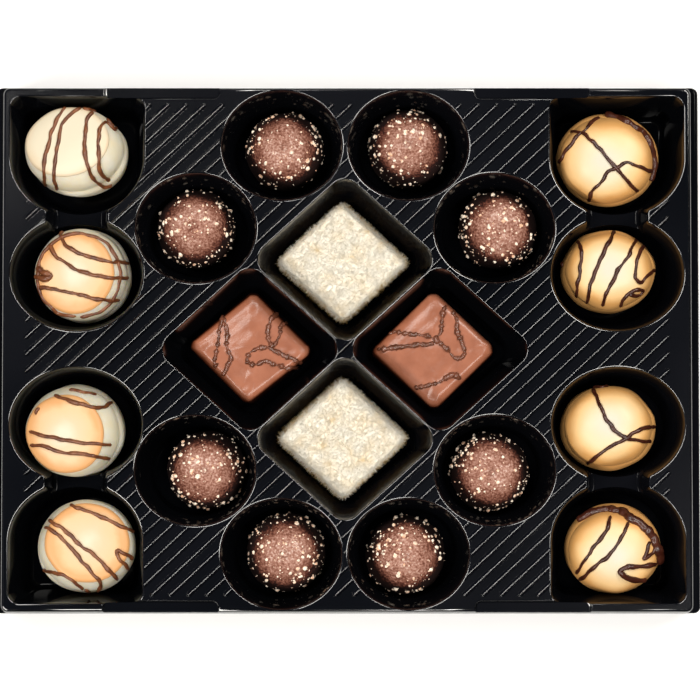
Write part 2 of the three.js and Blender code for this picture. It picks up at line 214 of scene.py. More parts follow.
def shield(half_x, half_y, corner, edge_side, out=0.0):
    """Half an oval towards the tray's middle, and straight sides towards its edge."""
    turns = [math.pi * (1 + i / (SIDES / 2)) for i in range(SIDES // 2 + 1)]
    half = [((half_x + out) * math.cos(t), (half_y + out) * math.sin(t)) for t in turns]
    x, y, radius = half_x - corner, half_y - corner, corner + out
    box = [
        *arc(x, y, radius, 0, math.pi / 2, 10),
        *arc(-x, y, radius, math.pi / 2, math.pi, 10),
    ]
    outline = half[:-1] + box[:-1]
    return outline if edge_side > 0 else [(px, -py) for px, py in reversed(outline)]


# Each well's shape takes a level's lean and the rim's rounding.
ROUND_WELL = (18.0, 16.4)
BALL_WELL = (19.8, 17.1)
CORNER_WELL = (19.95, 18.0)
CORNER_WELL_CORNER = 3.3
SQUARE_WELL = (28.4, 25.8)
SQUARE_WELL_CORNER = 5.0
SQUARE_LEAN = 1.75
BALL_WELL_X = 81.0
BALL_WELL_Y = 22.7
CORNER_WELL_Y = 57.75
ROUND_WELL_PLACES = ((19.0, 61.2), (44.75, 36.3))
SQUARE_WELL_PLACES = ((0, 26.9), (0, -26.9), (-28.45, 0), (28.45, 0))
RIM_ROUNDING = 0.6
LAND_ROUNDING = 0.38
FLOOR_ROUNDING = 1.3


def round_well(lean, out):
    return oval(ROUND_WELL[0] - lean, ROUND_WELL[1] - lean, out)


def ball_well(lean, out):
    return oval(BALL_WELL[0] - lean, BALL_WELL[1] - lean, out)


def corner_well(edge_side):
    def shape(lean, out):
        half_x, half_y = CORNER_WELL[0] - lean, CORNER_WELL[1] - lean
        return shield(half_x, half_y, CORNER_WELL_CORNER, edge_side, out)
    return shape


def square_well(lean, out):
    half_x, half_y = (half - SQUARE_LEAN * lean for half in SQUARE_WELL)
    corner = SQUARE_WELL_CORNER * half_x / SQUARE_WELL[0]
    return diamond(half_x, half_y, corner, out)


wells = []
for side_x in (-1, 1):
    for side_y in (-1, 1):
        for x, y in ROUND_WELL_PLACES:
            wells.append((PATTERN_X + side_x * x, side_y * y, round_well, RIM_ROUNDING))
        wells.append((side_x * BALL_WELL_X, side_y * BALL_WELL_Y, ball_well, RIM_ROUNDING))
        wells.append(
            (side_x * BALL_WELL_X, side_y * CORNER_WELL_Y, corner_well(side_y), RIM_ROUNDING)
        )
for x, y in SQUARE_WELL_PLACES:
    wells.append((PATTERN_X + x, y, square_well, LAND_ROUNDING))


def hollow(x, y, shape, rim, floor):
    """The space in a well or dip: rounded rim, leaning wall, rounded floor."""
    levels = [(shape(0, rim), DECK + 3)]
    for sunk, grown_by in quarter_turn(5):
        levels.append((shape(0, rim * grown_by), DECK - rim * sunk))
    for z in (DECK - rim - 0.4, floor + FLOOR_ROUNDING + 0.4):
        levels.append((shape((DECK - z) * DRAFT, 0), z))
    for drawn, raised in quarter_turn(5):
        lean = (DECK - floor - FLOOR_ROUNDING) * DRAFT + FLOOR_ROUNDING * drawn
        levels.append((shape(lean, 0), floor + FLOOR_ROUNDING * raised))
    return mesh_object("hollow", *loft(moved(reversed(levels), x, y)))


def shell(x, y, shape, foot):
    """The outside of a well, one sheet's thickness round its hollow."""
    levels = [(shape((DECK - z) * DRAFT, SHEET), z) for z in (foot, DECK - SHEET / 2)]
    return mesh_object("shell", *loft(moved(levels, x, y)))


# Between each corner well and its neighbour a finger's width of wall is cut away.
NECK_HALF_X = 9.0
NECK_HALF_Y = 6.5
NECK_Y = 39.8
NECK_FLOOR = 15.5
SHOULDER = 1.5
SHOULDER_FLAT = 1.0
SHOULDER_TURN = 61
SHOULDER_REACH = 3


def neck(lean, out):
    """The dip's outline: its sides turn smoothly into the two wells that it joins."""
    x, radius = NECK_HALF_X - lean, SHOULDER - out + lean
    turn = math.radians(SHOULDER_TURN)
    right = [
        (x - SHOULDER_REACH, -NECK_HALF_Y),
        *[(x + SHOULDER + lean - px, -SHOULDER_FLAT - py)
          for px, py in arc(0, 0, radius, turn, 0, 6)],
        *[(x + SHOULDER + lean - px, SHOULDER_FLAT + py)
          for px, py in arc(0, 0, radius, 0, turn, 6)],
        (x - SHOULDER_REACH, NECK_HALF_Y),
    ]
    left = [(-px, -py) for px, py in right]
    return right + left


def skirt(inset, foot):
    """The tray's outside, or its inside when it is drawn in by the sheet's thickness."""
    corner = SKIRT_CORNER
    half_x, half_y = (half - inset for half in DECK_HALF)
    levels = [(rounded_box(FOOT_HALF[0] - inset, FOOT_HALF[1] - inset, corner), foot)]
    for k, (drawn, lower) in enumerate(quarter_turn(4)):
        across = LEDGE_HALF_X - inset - LEDGE_ROUNDING * drawn
        outline = rounded_box(across, half_y + WALL_LEAN - 0.04 * k, corner)
        levels.append((outline, LEDGE_HEIGHT - inset - LEDGE_ROUNDING * lower))
    levels.append((rounded_box(half_x + WALL_LEAN, half_y + 0.4, corner),
                   LEDGE_HEIGHT - inset))
    for drawn, lower in quarter_turn(4):
        drawn *= EDGE_ROUNDING
        outline = rounded_box(half_x - drawn, half_y - drawn, corner - drawn)
        levels.append((outline, DECK - inset - EDGE_ROUNDING * lower))
    return mesh_object("skirt", *loft(levels))


# Four shallow recesses in the long edges, open towards the outside.
RECESS_START, RECESS_END = 38.4, 72.6
RECESS_INNER = 75.3
RECESS_DEPTH = 1.2
RECESS_CORNER = 1.6
PAST_EDGE = 4


def recesses(out, depth):
    """The spaces of the recesses, each with a soft step from its floor to the deck."""
    made = []
    half_x = (RECESS_END - RECESS_START) / 2 + out
    half_y = (FOOT_HALF[1] + PAST_EDGE - RECESS_INNER) / 2 + out
    steps = ((-0.35, -depth), (-0.1, 0.1 - depth), (0, 0.35 - depth), (0.1, -0.3),
             (0.25, -0.1), (0.5, 0), (0.5, 2))
    levels = [(rounded_box(half_x, half_y, RECESS_CORNER, grow), DECK + z)
              for grow, z in steps]
    for side_x in (-1, 1):
        for side_y in (-1, 1):
            x = side_x * (RECESS_START + RECESS_END) / 2
            y = side_y * (RECESS_INNER + FOOT_HALF[1] + PAST_EDGE) / 2
            made.append(mesh_object("recess", *loft(moved(levels, x, y))))
    return made


def new_tree(name, inputs):
    """A Geometry Nodes tree. Each input is named with its default or its kind of socket."""
    tree = bpy.data.node_groups.new(name, "GeometryNodeTree")
    kinds = {int: "Int", float: "Float", tuple: "Vector"}
    for label, value in inputs.items():
        kind = kinds.get(type(value), value)
        socket = tree.interface.new_socket(label, in_out="INPUT",
                                           socket_type="NodeSocket" + kind)
        if type(value) in kinds:
            socket.default_value = value
    tree.interface.new_socket("Geometry", in_out="OUTPUT", socket_type="NodeSocketGeometry")
    return tree, add(tree, "NodeGroupInput").outputs


def finished(tree, node, given):
    """Ends a tree: real geometry in place of instances, with its material."""
    real = add(tree, "GeometryNodeRealizeInstances", (node,))
    done = add(tree, "GeometryNodeSetMaterial",
               {"Geometry": real, "Material": given["Material"]})
    add(tree, "NodeGroupOutput", (done,))
    return tree


RIB_POINTS = 14
RIB_END_POINTS = 6.0


# The ribs: Geometry Nodes lay one line for each rib from border to border, and sweep a
# low smooth ridge along it, which tapers to a round end over its last points.
def rib_tree():
    tree, given = new_tree("ribs", {"Ribs each way": 32, "Pitch": 0.00509, "Phase": 0.00109,
        "Slope": 0.929, "End X": 0.0964, "End Y": 0.0737, "Half width": 0.00098,
        "Rise": 0.00055, "Sunk": 0.0003, "Height": DECK * MM, "Material": "Material"})
    count = add(tree, "MULTIPLY_ADD", (given["Ribs each way"], 2.0, 1.0))
    index = add(tree, "GeometryNodeInputIndex").outputs[0]
    place = add(tree, "SUBTRACT", (index, given["Ribs each way"]))
    offset = add(tree, "MULTIPLY_ADD", (place, given["Pitch"], given["Phase"]))
    foot = add(tree, "MULTIPLY", (given["End Y"], -1.0))
    low = add(tree, "DIVIDE", (add(tree, "SUBTRACT", (foot, offset)), given["Slope"]))
    high = add(tree, "DIVIDE", (add(tree, "SUBTRACT", (given["End Y"], offset)), given["Slope"]))
    start_x = add(tree, "MAXIMUM", (low, add(tree, "MULTIPLY", (given["End X"], -1.0))))
    end_x = add(tree, "MINIMUM", (high, given["End X"]))
    start_y = add(tree, "MULTIPLY_ADD", (start_x, given["Slope"], offset))
    start = add(tree, "ShaderNodeCombineXYZ", {0: start_x, 1: start_y, 2: given["Height"]})
    points = add(tree, "GeometryNodePoints", {"Count": count, "Position": start})
    span = add(tree, "GeometryNodeCaptureAttribute", {"Geometry": points})
    span.capture_items.new("FLOAT", "span")
    feed(tree, span, {1: add(tree, "SUBTRACT", (end_x, start_x))})
    length = span.outputs[1]
    short = add(tree, "FunctionNodeCompare", {0: length, 1: 0.002}, operation="LESS_THAN")
    kept = add(tree, "GeometryNodeDeleteGeometry", {"Geometry": span, "Selection": short})
    corners = add(tree, "GeometryNodePointsToVertices", {0: kept})
    way = add(tree, "ShaderNodeCombineXYZ", {0: 1.0, 1: given["Slope"], 2: 0.0})
    reach = add(tree, "ShaderNodeVectorMath", {0: way, "Scale": length}, operation="SCALE")
    lines = add(tree, "GeometryNodeExtrudeMesh", {"Mesh": corners, "Offset": reach,
                                                  "Offset Scale": 1.0}, mode="VERTICES")
    curves = add(tree, "GeometryNodeMeshToCurve", {0: lines})
    steps = add(tree, "GeometryNodeResampleCurve", {"Curve": curves, "Count": RIB_POINTS})
    at = add(tree, "GeometryNodeSplineParameter").outputs
    whole = add(tree, "GeometryNodeSplineLength").outputs["Length"]
    far = add(tree, "SUBTRACT", (RIB_POINTS - 1.0, at["Index"]))
    near = add(tree, "DIVIDE", (add(tree, "MINIMUM", (at["Index"], far)), RIB_END_POINTS))
    turn = add(tree, "MULTIPLY", (near, math.pi / 2))
    drawn = add(tree, "SUBTRACT", (1.0, add(tree, "COSINE", (turn,))))
    inset = add(tree, "MULTIPLY", (drawn, given["Half width"]))
    first_half = add(tree, "LESS_THAN", (at["Index"], (RIB_POINTS - 1) / 2))
    other_end = add(tree, "SUBTRACT", (whole, inset))
    along = add(tree, "ShaderNodeMix", {0: first_half, 2: other_end, 3: inset}).outputs[0]
    shift = add(tree, "SUBTRACT", (along, at["Length"]))
    unit = add(tree, "ShaderNodeVectorMath", {0: way}, operation="NORMALIZE")
    slide = add(tree, "ShaderNodeVectorMath", {0: unit, "Scale": shift}, operation="SCALE")
    spaced = add(tree, "GeometryNodeSetPosition", {"Geometry": steps, "Offset": slide})
    upright = add(tree, "GeometryNodeSetCurveNormal", {0: spaced}, mode="Z_UP")
    leftwards = add(tree, "MULTIPLY", (given["Half width"], -1.0))
    left = add(tree, "ShaderNodeCombineXYZ", (leftwards,))
    right = add(tree, "ShaderNodeCombineXYZ", (given["Half width"],))
    base = add(tree, "GeometryNodeCurvePrimitiveLine", {"Start": left, "End": right})
    fine = add(tree, "GeometryNodeResampleCurve", {"Curve": base, "Count": 25})
    share = add(tree, "GeometryNodeSplineParameter").outputs["Factor"]
    wave = add(tree, "COSINE", (add(tree, "MULTIPLY_ADD", (share, 2 * math.pi, -math.pi)),))
    swell = add(tree, "MULTIPLY", (add(tree, "MULTIPLY_ADD", (wave, 0.5, 0.52)), given["Rise"]))
    from_middle = add(tree, "ABSOLUTE", (add(tree, "SUBTRACT", (share, 0.5)),))
    at_edge = add(tree, "GREATER_THAN", (from_middle, 0.49))
    sunk = add(tree, "MULTIPLY", (at_edge, given["Sunk"]))
    raised = add(tree, "ShaderNodeCombineXYZ", {1: add(tree, "SUBTRACT", (sunk, swell))})
    ridge = add(tree, "GeometryNodeSetPosition", {"Geometry": fine, "Offset": raised})
    section = add(tree, "GeometryNodeSetSplineCyclic", {"Geometry": ridge, "Cyclic": True})
    taper = add(tree, "MAXIMUM", (add(tree, "SINE", (turn,)), 0.08))
    swept = add(tree, "GeometryNodeCurveToMesh", {"Curve": upright, "Profile Curve": section,
                                                  "Scale": taper, "Fill Caps": True})
    return finished(tree, swept, given)


def grown(name, tree, inputs, base=None):
    """A new object with a Geometry Nodes tree's result as its plain mesh."""
    made = bpy.data.objects.new(name, base or bpy.data.meshes.new(name))
    bpy.context.scene.collection.objects.link(made)
    step = made.modifiers.new(name, "NODES")
    step.node_group = tree
    sockets = {s.name: s.identifier for s in tree.interface.items_tree if s.in_out == "INPUT"}
    for key, value in inputs.items():
        step[sockets[key]] = value
    return plain(made)


# Black polystyrene, vacuum-formed: a deep black that shows only what it mirrors. The deck
# keeps the sheet's full gloss and slight unevenness, and the drawn wells are duller.
polystyrene, tree, shader = new_material("black_polystyrene_vacuum_formed")
place = add(tree, "ShaderNodeTexCoord").outputs["Object"]
ripple = add(tree, "ShaderNodeTexNoise", {"Vector": place, "Scale": 90.0, "Detail": 2.0})
haze = add(tree, "ShaderNodeTexNoise", {"Vector": place, "Scale": 14.0, "Detail": 3.0})
polish = add(tree, "ShaderNodeMapRange", {"Value": haze.outputs["Fac"], "From Min": 0.3,
                                          "From Max": 0.7, "To Min": 0.08, "To Max": 0.13})
dull = add(tree, "ShaderNodeValToRGB", {"Fac": haze.outputs["Fac"]},
           stops=((0.3, "#050608"), (0.7, "#0b0c10")))
height = add(tree, "ShaderNodeSeparateXYZ", {0: place}).outputs["Z"]
gloss = add(tree, "ShaderNodeMapRange", {"Value": height, "From Min": 0.0243, "From Max": 0.0256,
                                         "To Min": 0.07, "To Max": 1.0})
uneven = add(tree, "ShaderNodeBump", {"Height": ripple.outputs["Fac"], "Strength": 0.03,
                                      "Distance": 0.0004})
feed(tree, shader, {"Base Color": dull, "Roughness": polish, "Specular IOR Level": gloss,
                    "Normal": uneven, "IOR": 1.5})

inside = combine(skirt(SHEET, -1), "DIFFERENCE", recesses(SHEET, RECESS_DEPTH + SHEET))
tray = combine(skirt(0, 0), "DIFFERENCE", [inside])
tray = combine(tray, "UNION", [grown("ribs", rib_tree(), {"Material": polystyrene})])
neck_places = [(sx * BALL_WELL_X, sy * NECK_Y) for sx in (-1, 1) for sy in (-1, 1)]
shells = [shell(x, y, shape, 0) for x, y, shape, _ in wells]
shells += [shell(x, y, neck, NECK_FLOOR - SHEET) for x, y in neck_places]
tray = combine(tray, "UNION", shells)
hollows = [hollow(x, y, shape, rim, SHEET) for x, y, shape, rim in wells]
hollows += [hollow(x, y, neck, RIM_ROUNDING, NECK_FLOOR) for x, y in neck_places]
tray = combine(tray, "DIFFERENCE", recesses(0, RECESS_DEPTH) + hollows)
tray.name = "black_tray"


CREASE = math.radians(32)
FLAT = math.radians(0.3)
LEVEL = 0.99995


def crisp(thing):
    """Smooth shading that leaves level faces truly level and creases sharp."""
    body = bmesh.new()
    body.from_mesh(thing.data)
    bmesh.ops.remove_doubles(body, verts=body.verts, dist=1e-6)
    bmesh.ops.dissolve_limit(body, angle_limit=FLAT, verts=body.verts,
                             edges=body.edges)
    for edge in body.edges:
        if len(edge.link_faces) == 2:
            level = [abs(face.normal.z) > LEVEL for face in edge.link_faces]
            angle = edge.calc_face_angle(math.pi)
            edge.smooth = level[0] == level[1] and angle < CREASE
    for face in body.faces:
        face.smooth = True
    body.to_mesh(thing.data)
    body.free()


crisp(tray)
tray.data.materials.clear()
tray.data.materials.append(polystyrene)
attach(tray, "root")
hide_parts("tray")

# ---------------------------------------------------------------------------------------
# The balls of the left column: a white-coated shell of two bulges with a seam between
# them, and a flat caramel disc on top. Each one leans in its well its own way.
# They are turned about their own axis, leaned, and set down on the well's floor.
# ---------------------------------------------------------------------------------------
EYE = Vector((0.9, -35.0, 826.5)) * MM
PIXEL = 0.3
PIXEL_CENTRE = (347.0, 349.5)
WELL_FLOOR = SHEET + 0.3
BALL_SIZE = np.array([14.4, 26.0])
BALL_SIDES = 96
BALL_WAVE = (9.0, 0.35)
SHELL_PROFILE = (
    (0, 0), (0.5, 0.0), (0.72, 0.05), (0.9, 0.18), (1, 0.37), (0.995, 0.44), (0.955, 0.49),
    (0.975, 0.55), (0.985, 0.64), (0.955, 0.76), (0.89, 0.87), (0.8, 0.93), (0.5, 0.965),
    (0, 0.97),
)
DISC_PROFILE = (
    (0, 0.9), (0.6, 0.9), (0.82, 0.9), (0.855, 0.915), (0.835, 0.935), (0.78, 0.955),
    (0.6, 0.98), (0.3, 0.996), (0, 1),
)


def curve_through(points, steps):
    """A smooth line through the points: a Catmull-Rom curve with level ends."""
    points = np.asarray(points, float)
    padded = np.vstack([2 * points[0] - points[1], points, 2 * points[-1] - points[-2]])
    made = []
    for k in range(1, len(padded) - 2):
        before, start, end, after = padded[k - 1:k + 3]
        for t in np.arange(steps) / steps:
            made.append(0.5 * (2 * start + (end - before) * t
                               + (2 * before - 5 * start + 4 * end - after) * t * t
                               + (3 * start - before - 3 * end + after) * t ** 3))
    return np.array([*made, points[-1]])


def turned(profile, sides, steps=4):
    """A body turned about Z. Gives points, faces and how far out each point is, 0 to 1."""
    line = curve_through(profile, steps)
    line[:, 0] = np.maximum(line[:, 0], 0)
    turns = 2 * np.pi * np.arange(sides) / sides
    rings = [[(r * math.cos(t), r * math.sin(t), z) for t in turns] for r, z in line[1:-1]]
    points = [(0, 0, line[0][1]), *[p for ring in rings for p in ring], (0, 0, line[-1][1])]
    last = len(points) - 1
    faces = [(0, 1 + (i + 1) % sides, 1 + i) for i in range(sides)]
    faces += ring_faces(1, len(rings), sides)
    top = last - sides
    faces += [(top + i, top + (i + 1) % sides, last) for i in range(sides)]
    points = np.array(points, float)
    out = np.hypot(points[:, 0], points[:, 1])
    return points, faces, out / out.max()


# Without a seed of its own, the noise would give every run other sweets.
NOISE_SEED = 11
noise.seed_set(NOISE_SEED)


def uneven_by(points, wave, depth, seed):
    """Moves points gently, as hand-made things are uneven: wave and depth in mm."""
    shift = [noise.noise_vector(Vector(p / wave) + Vector((seed, 0, 0))) for p in points]
    return points + depth * np.array(shift)


def painted(thing, **values):
    """Stores a value on each point, which the material reads."""
    for name, value in values.items():
        stored = thing.data.attributes.new(name, "FLOAT", "POINT")
        count = len(thing.data.vertices)
        stored.data.foreach_set("value", np.broadcast_to(value, count).astype(np.float32))


def settled(points, lean, towards, size, place):
    """Where a body's points go when it leans, has its full size and stands in its well."""
    way = math.radians(towards)
    axis = Vector((-math.sin(way), math.cos(way), 0))
    turn = np.array(Matrix.Rotation(math.radians(lean), 3, axis))
    leaned = points @ turn.T
    low, high = leaned.min(0), leaned.max(0)
    scale = np.asarray(size) / (high - low)
    foot = np.array([*place, WELL_FLOOR])

    def put(other):
        middle = np.array([*(low + high)[:2] / 2, low[2]])
        return (other @ turn.T - middle) * scale + foot
    return put


SHAKE_SCALE = 480.0
LIFT = 0.3
END_WIDTH = 0.35
END_GROWTH = 1400.0


# The poured lines: Geometry Nodes drop each drawn line on its sweet along the line of
# sight, so that it lies on the coating, and sweep a thread along it that swells and thins.
def poured_tree():
    tree, given = new_tree("poured_chocolate", {"Geometry": "Geometry", "Sweet": "Object",
        "Eye": tuple(EYE), "Half width": 0.00057, "Swell": 0.5, "Wave": 330.0,
        "Wobble": 0.0003, "Material": "Material"})
    at = add(tree, "GeometryNodeInputPosition").outputs[0]
    shaky = add(tree, "ShaderNodeTexNoise", {"Vector": at, "Scale": SHAKE_SCALE, "Detail": 0.0})
    aside = add(tree, "ShaderNodeVectorMath", {0: shaky.outputs["Color"], 1: (0.5, 0.5, 0.5)},
                operation="SUBTRACT")
    far = add(tree, "MULTIPLY", (given["Wobble"], 4.0))
    shake = add(tree, "ShaderNodeVectorMath", {0: aside, "Scale": far}, operation="SCALE")
    drawn = add(tree, "ShaderNodeVectorMath", {0: at, 1: shake}, operation="ADD")
    sight = add(tree, "ShaderNodeVectorMath", {0: drawn, 1: given["Eye"]}, operation="SUBTRACT")
    sweet = add(tree, "GeometryNodeObjectInfo", {"Object": given["Sweet"]},
                transform_space="RELATIVE")
    ray = add(tree, "GeometryNodeRaycast", {"Target Geometry": sweet.outputs["Geometry"],
                                            "Source Position": given["Eye"],
                                            "Ray Direction": sight, "Ray Length": 2.0})
    found = add(tree, "GeometryNodeCaptureAttribute", {"Geometry": given["Geometry"]})
    for kind, name, source in (("BOOLEAN", "hit", ray.outputs["Is Hit"]),
                               ("VECTOR", "place", ray.outputs["Hit Position"]),
                               ("VECTOR", "normal", ray.outputs["Hit Normal"])):
        found.capture_items.new(kind, name)
        feed(tree, found, {name: source})
    missed = add(tree, "FunctionNodeBooleanMath", {0: found.outputs["hit"]}, operation="NOT")
    kept = add(tree, "GeometryNodeDeleteGeometry", {"Geometry": found.outputs["Geometry"],
                                                    "Selection": missed})
    laid = add(tree, "GeometryNodeSetPosition", {"Geometry": kept,
                                                 "Position": found.outputs["place"]})
    curve = add(tree, "GeometryNodeMeshToCurve", {0: laid})
    landed = add(tree, "GeometryNodeInputPosition")
    soft = add(tree, "GeometryNodeBlurAttribute", {"Value": landed, "Iterations": 3},
               data_type="FLOAT_VECTOR")
    thick = add(tree, "GeometryNodeInputNamedAttribute", {"Name": "thick"}).outputs[0]
    lift = add(tree, "MULTIPLY", (add(tree, "MULTIPLY", (thick, given["Half width"])), LIFT))
    up = add(tree, "ShaderNodeVectorMath", {0: found.outputs["normal"], "Scale": lift},
             operation="SCALE")
    smooth = add(tree, "GeometryNodeSetPosition", {"Geometry": curve, "Position": soft,
                                                   "Offset": up})
    place = add(tree, "GeometryNodeInputPosition").outputs[0]
    slow = add(tree, "ShaderNodeTexNoise", {"Vector": place, "Scale": given["Wave"]})
    uneven = add(tree, "SUBTRACT", (slow.outputs["Fac"], 0.5))
    swell = add(tree, "MULTIPLY", (uneven, given["Swell"]))
    wide = add(tree, "MULTIPLY_ADD", (swell, 3.0, 1.0))
    along = add(tree, "GeometryNodeSplineParameter").outputs["Length"]
    whole = add(tree, "GeometryNodeSplineLength").outputs["Length"]
    near_end = add(tree, "MINIMUM", (along, add(tree, "SUBTRACT", (whole, along))))
    growing = add(tree, "MULTIPLY_ADD", (near_end, END_GROWTH, END_WIDTH))
    rounded = add(tree, "MINIMUM", (growing, 1.0))
    usual = add(tree, "MULTIPLY", (thick, given["Half width"]))
    radius = add(tree, "MULTIPLY", (add(tree, "MULTIPLY", (wide, rounded)), usual))
    ring = add(tree, "GeometryNodeCurvePrimitiveCircle", {"Resolution": 10, "Radius": 1.0})
    swept = add(tree, "GeometryNodeCurveToMesh", {"Curve": smooth, "Profile Curve": ring,
                                                  "Scale": radius, "Fill Caps": True})
    return finished(tree, swept, given)


POURED = poured_tree()


def joined(things):
    """One mesh of several objects' meshes."""
    whole, mesh = bmesh.new(), bpy.data.meshes.new("joined")
    for thing in things:
        whole.from_mesh(thing.data)
    whole.to_mesh(mesh)
    whole.free()
    return mesh


def poured(name, sweets, centre, lines, material, **shape):
    """Poured lines from points in mm about the sweet's middle, a pixel of the photograph.
    A line may start with a number: how many times the usual width it is."""
    middle = ((centre[0] - PIXEL_CENTRE[0]) * PIXEL, (PIXEL_CENTRE[1] - centre[1]) * PIXEL)
    points, edges, thick = [], [], []
    for line in lines:
        share = line[0] if isinstance(line[0], (int, float)) else 1.0
        drawn = curve_through(line[1:] if line[0] is share else line, 10)
        first = len(points)
        points += [((middle[0] + x) * MM, (middle[1] + y) * MM, DECK * MM) for x, y in drawn]
        edges += [(first + i, first + i + 1) for i in range(len(drawn) - 1)]
        thick += [share] * len(drawn)
    mesh = bpy.data.meshes.new(name)
    mesh.from_pydata(points, edges, [])
    mesh.attributes.new("thick", "FLOAT", "POINT").data.foreach_set("value", thick)
    under = bpy.data.objects.new("under", joined(sweets))
    bpy.context.scene.collection.objects.link(under)
    made = grown(name, POURED, {"Sweet": under, "Material": material, **shape}, mesh)
    made.data.shade_smooth()
    bpy.data.objects.remove(under)
    return made


def stands_for(node, slot, *pieces):
    """Rides the pieces on the body, in place of a node of the solids."""
    for piece in pieces:
        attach(piece, "root")
        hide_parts(node)


# White cocoa-butter coating, dipped: opaque and creamy, with a soft satin gloss.
white_coating, tree, shader = new_material("white_coating_dipped")
place = add(tree, "ShaderNodeTexCoord").outputs["Object"]
cloud = add(tree, "ShaderNodeTexNoise", {"Vector": place, "Scale": 160.0, "Detail": 3.0})
tint = add(tree, "ShaderNodeValToRGB", {"Fac": cloud.outputs["Fac"]},
           stops=((0.3, "#ffeac6"), (0.7, "#fff2da")))
wavy = add(tree, "ShaderNodeBump", {"Height": cloud.outputs["Fac"], "Strength": 0.25,
                                    "Distance": 0.0005})
feed(tree, shader, {"Base Color": tint, "Normal": wavy, "Roughness": 0.38, "IOR": 1.46,
                    "Subsurface Weight": 0.6, "Subsurface Radius": (1.0, 0.85, 0.6),
                    "Subsurface Scale": 0.009})

# Caramel fondant, poured flat: pale in the middle and darker orange towards its edge,
# partly toasted and partly painted shade where the edge turns from the light.
caramel, tree, shader = new_material("caramel_fondant_poured")
place = add(tree, "ShaderNodeTexCoord").outputs["Object"]
out = add(tree, "ShaderNodeAttribute", attribute_name="out").outputs["Fac"]
pale = add(tree, "ShaderNodeAttribute", attribute_name="pale").outputs["Fac"]
cloud = add(tree, "ShaderNodeTexNoise", {"Vector": place, "Scale": 110.0, "Detail": 3.0})
drift = add(tree, "MULTIPLY_ADD", (cloud.outputs["Fac"], 0.5, out))
# Painted shade with toasting: the colour darkens outwards with the disc's out value.
toast_and_painted_shade = add(tree, "SUBTRACT", (drift, pale))
tint = add(tree, "ShaderNodeValToRGB", {"Fac": toast_and_painted_shade},
           stops=((0.2, "#dcd1b8"), (0.5, "#d9bf9b"), (0.82, "#e0b98b"), (1.0, "#d8a068")))
wavy = add(tree, "ShaderNodeBump", {"Height": cloud.outputs["Fac"], "Strength": 0.15,
                                    "Distance": 0.0004})
feed(tree, shader, {"Base Color": tint, "Normal": wavy, "Roughness": 0.42, "IOR": 1.46})


def streaked(name, scale, detail, stops, finish):
    """A material with streaks between two colours, and its finish on the shader."""
    made, tree, shader = new_material(name)
    place = add(tree, "ShaderNodeTexCoord").outputs["Object"]
    streak = add(tree, "ShaderNodeTexNoise", {"Vector": place, "Scale": scale, "Detail": detail})
    tint = add(tree, "ShaderNodeValToRGB", {"Fac": streak.outputs["Fac"]}, stops=stops)
    feed(tree, shader, {"Base Color": tint, **finish})
    return made


# Milk chocolate, poured in threads: a warm brown that keeps a gloss where it set.
milk_thread = streaked("milk_chocolate_threads", 420.0, 2.0,
                       ((0.35, "#562d19"), (0.7, "#845030")), {"Roughness": 0.33, "IOR": 1.46})

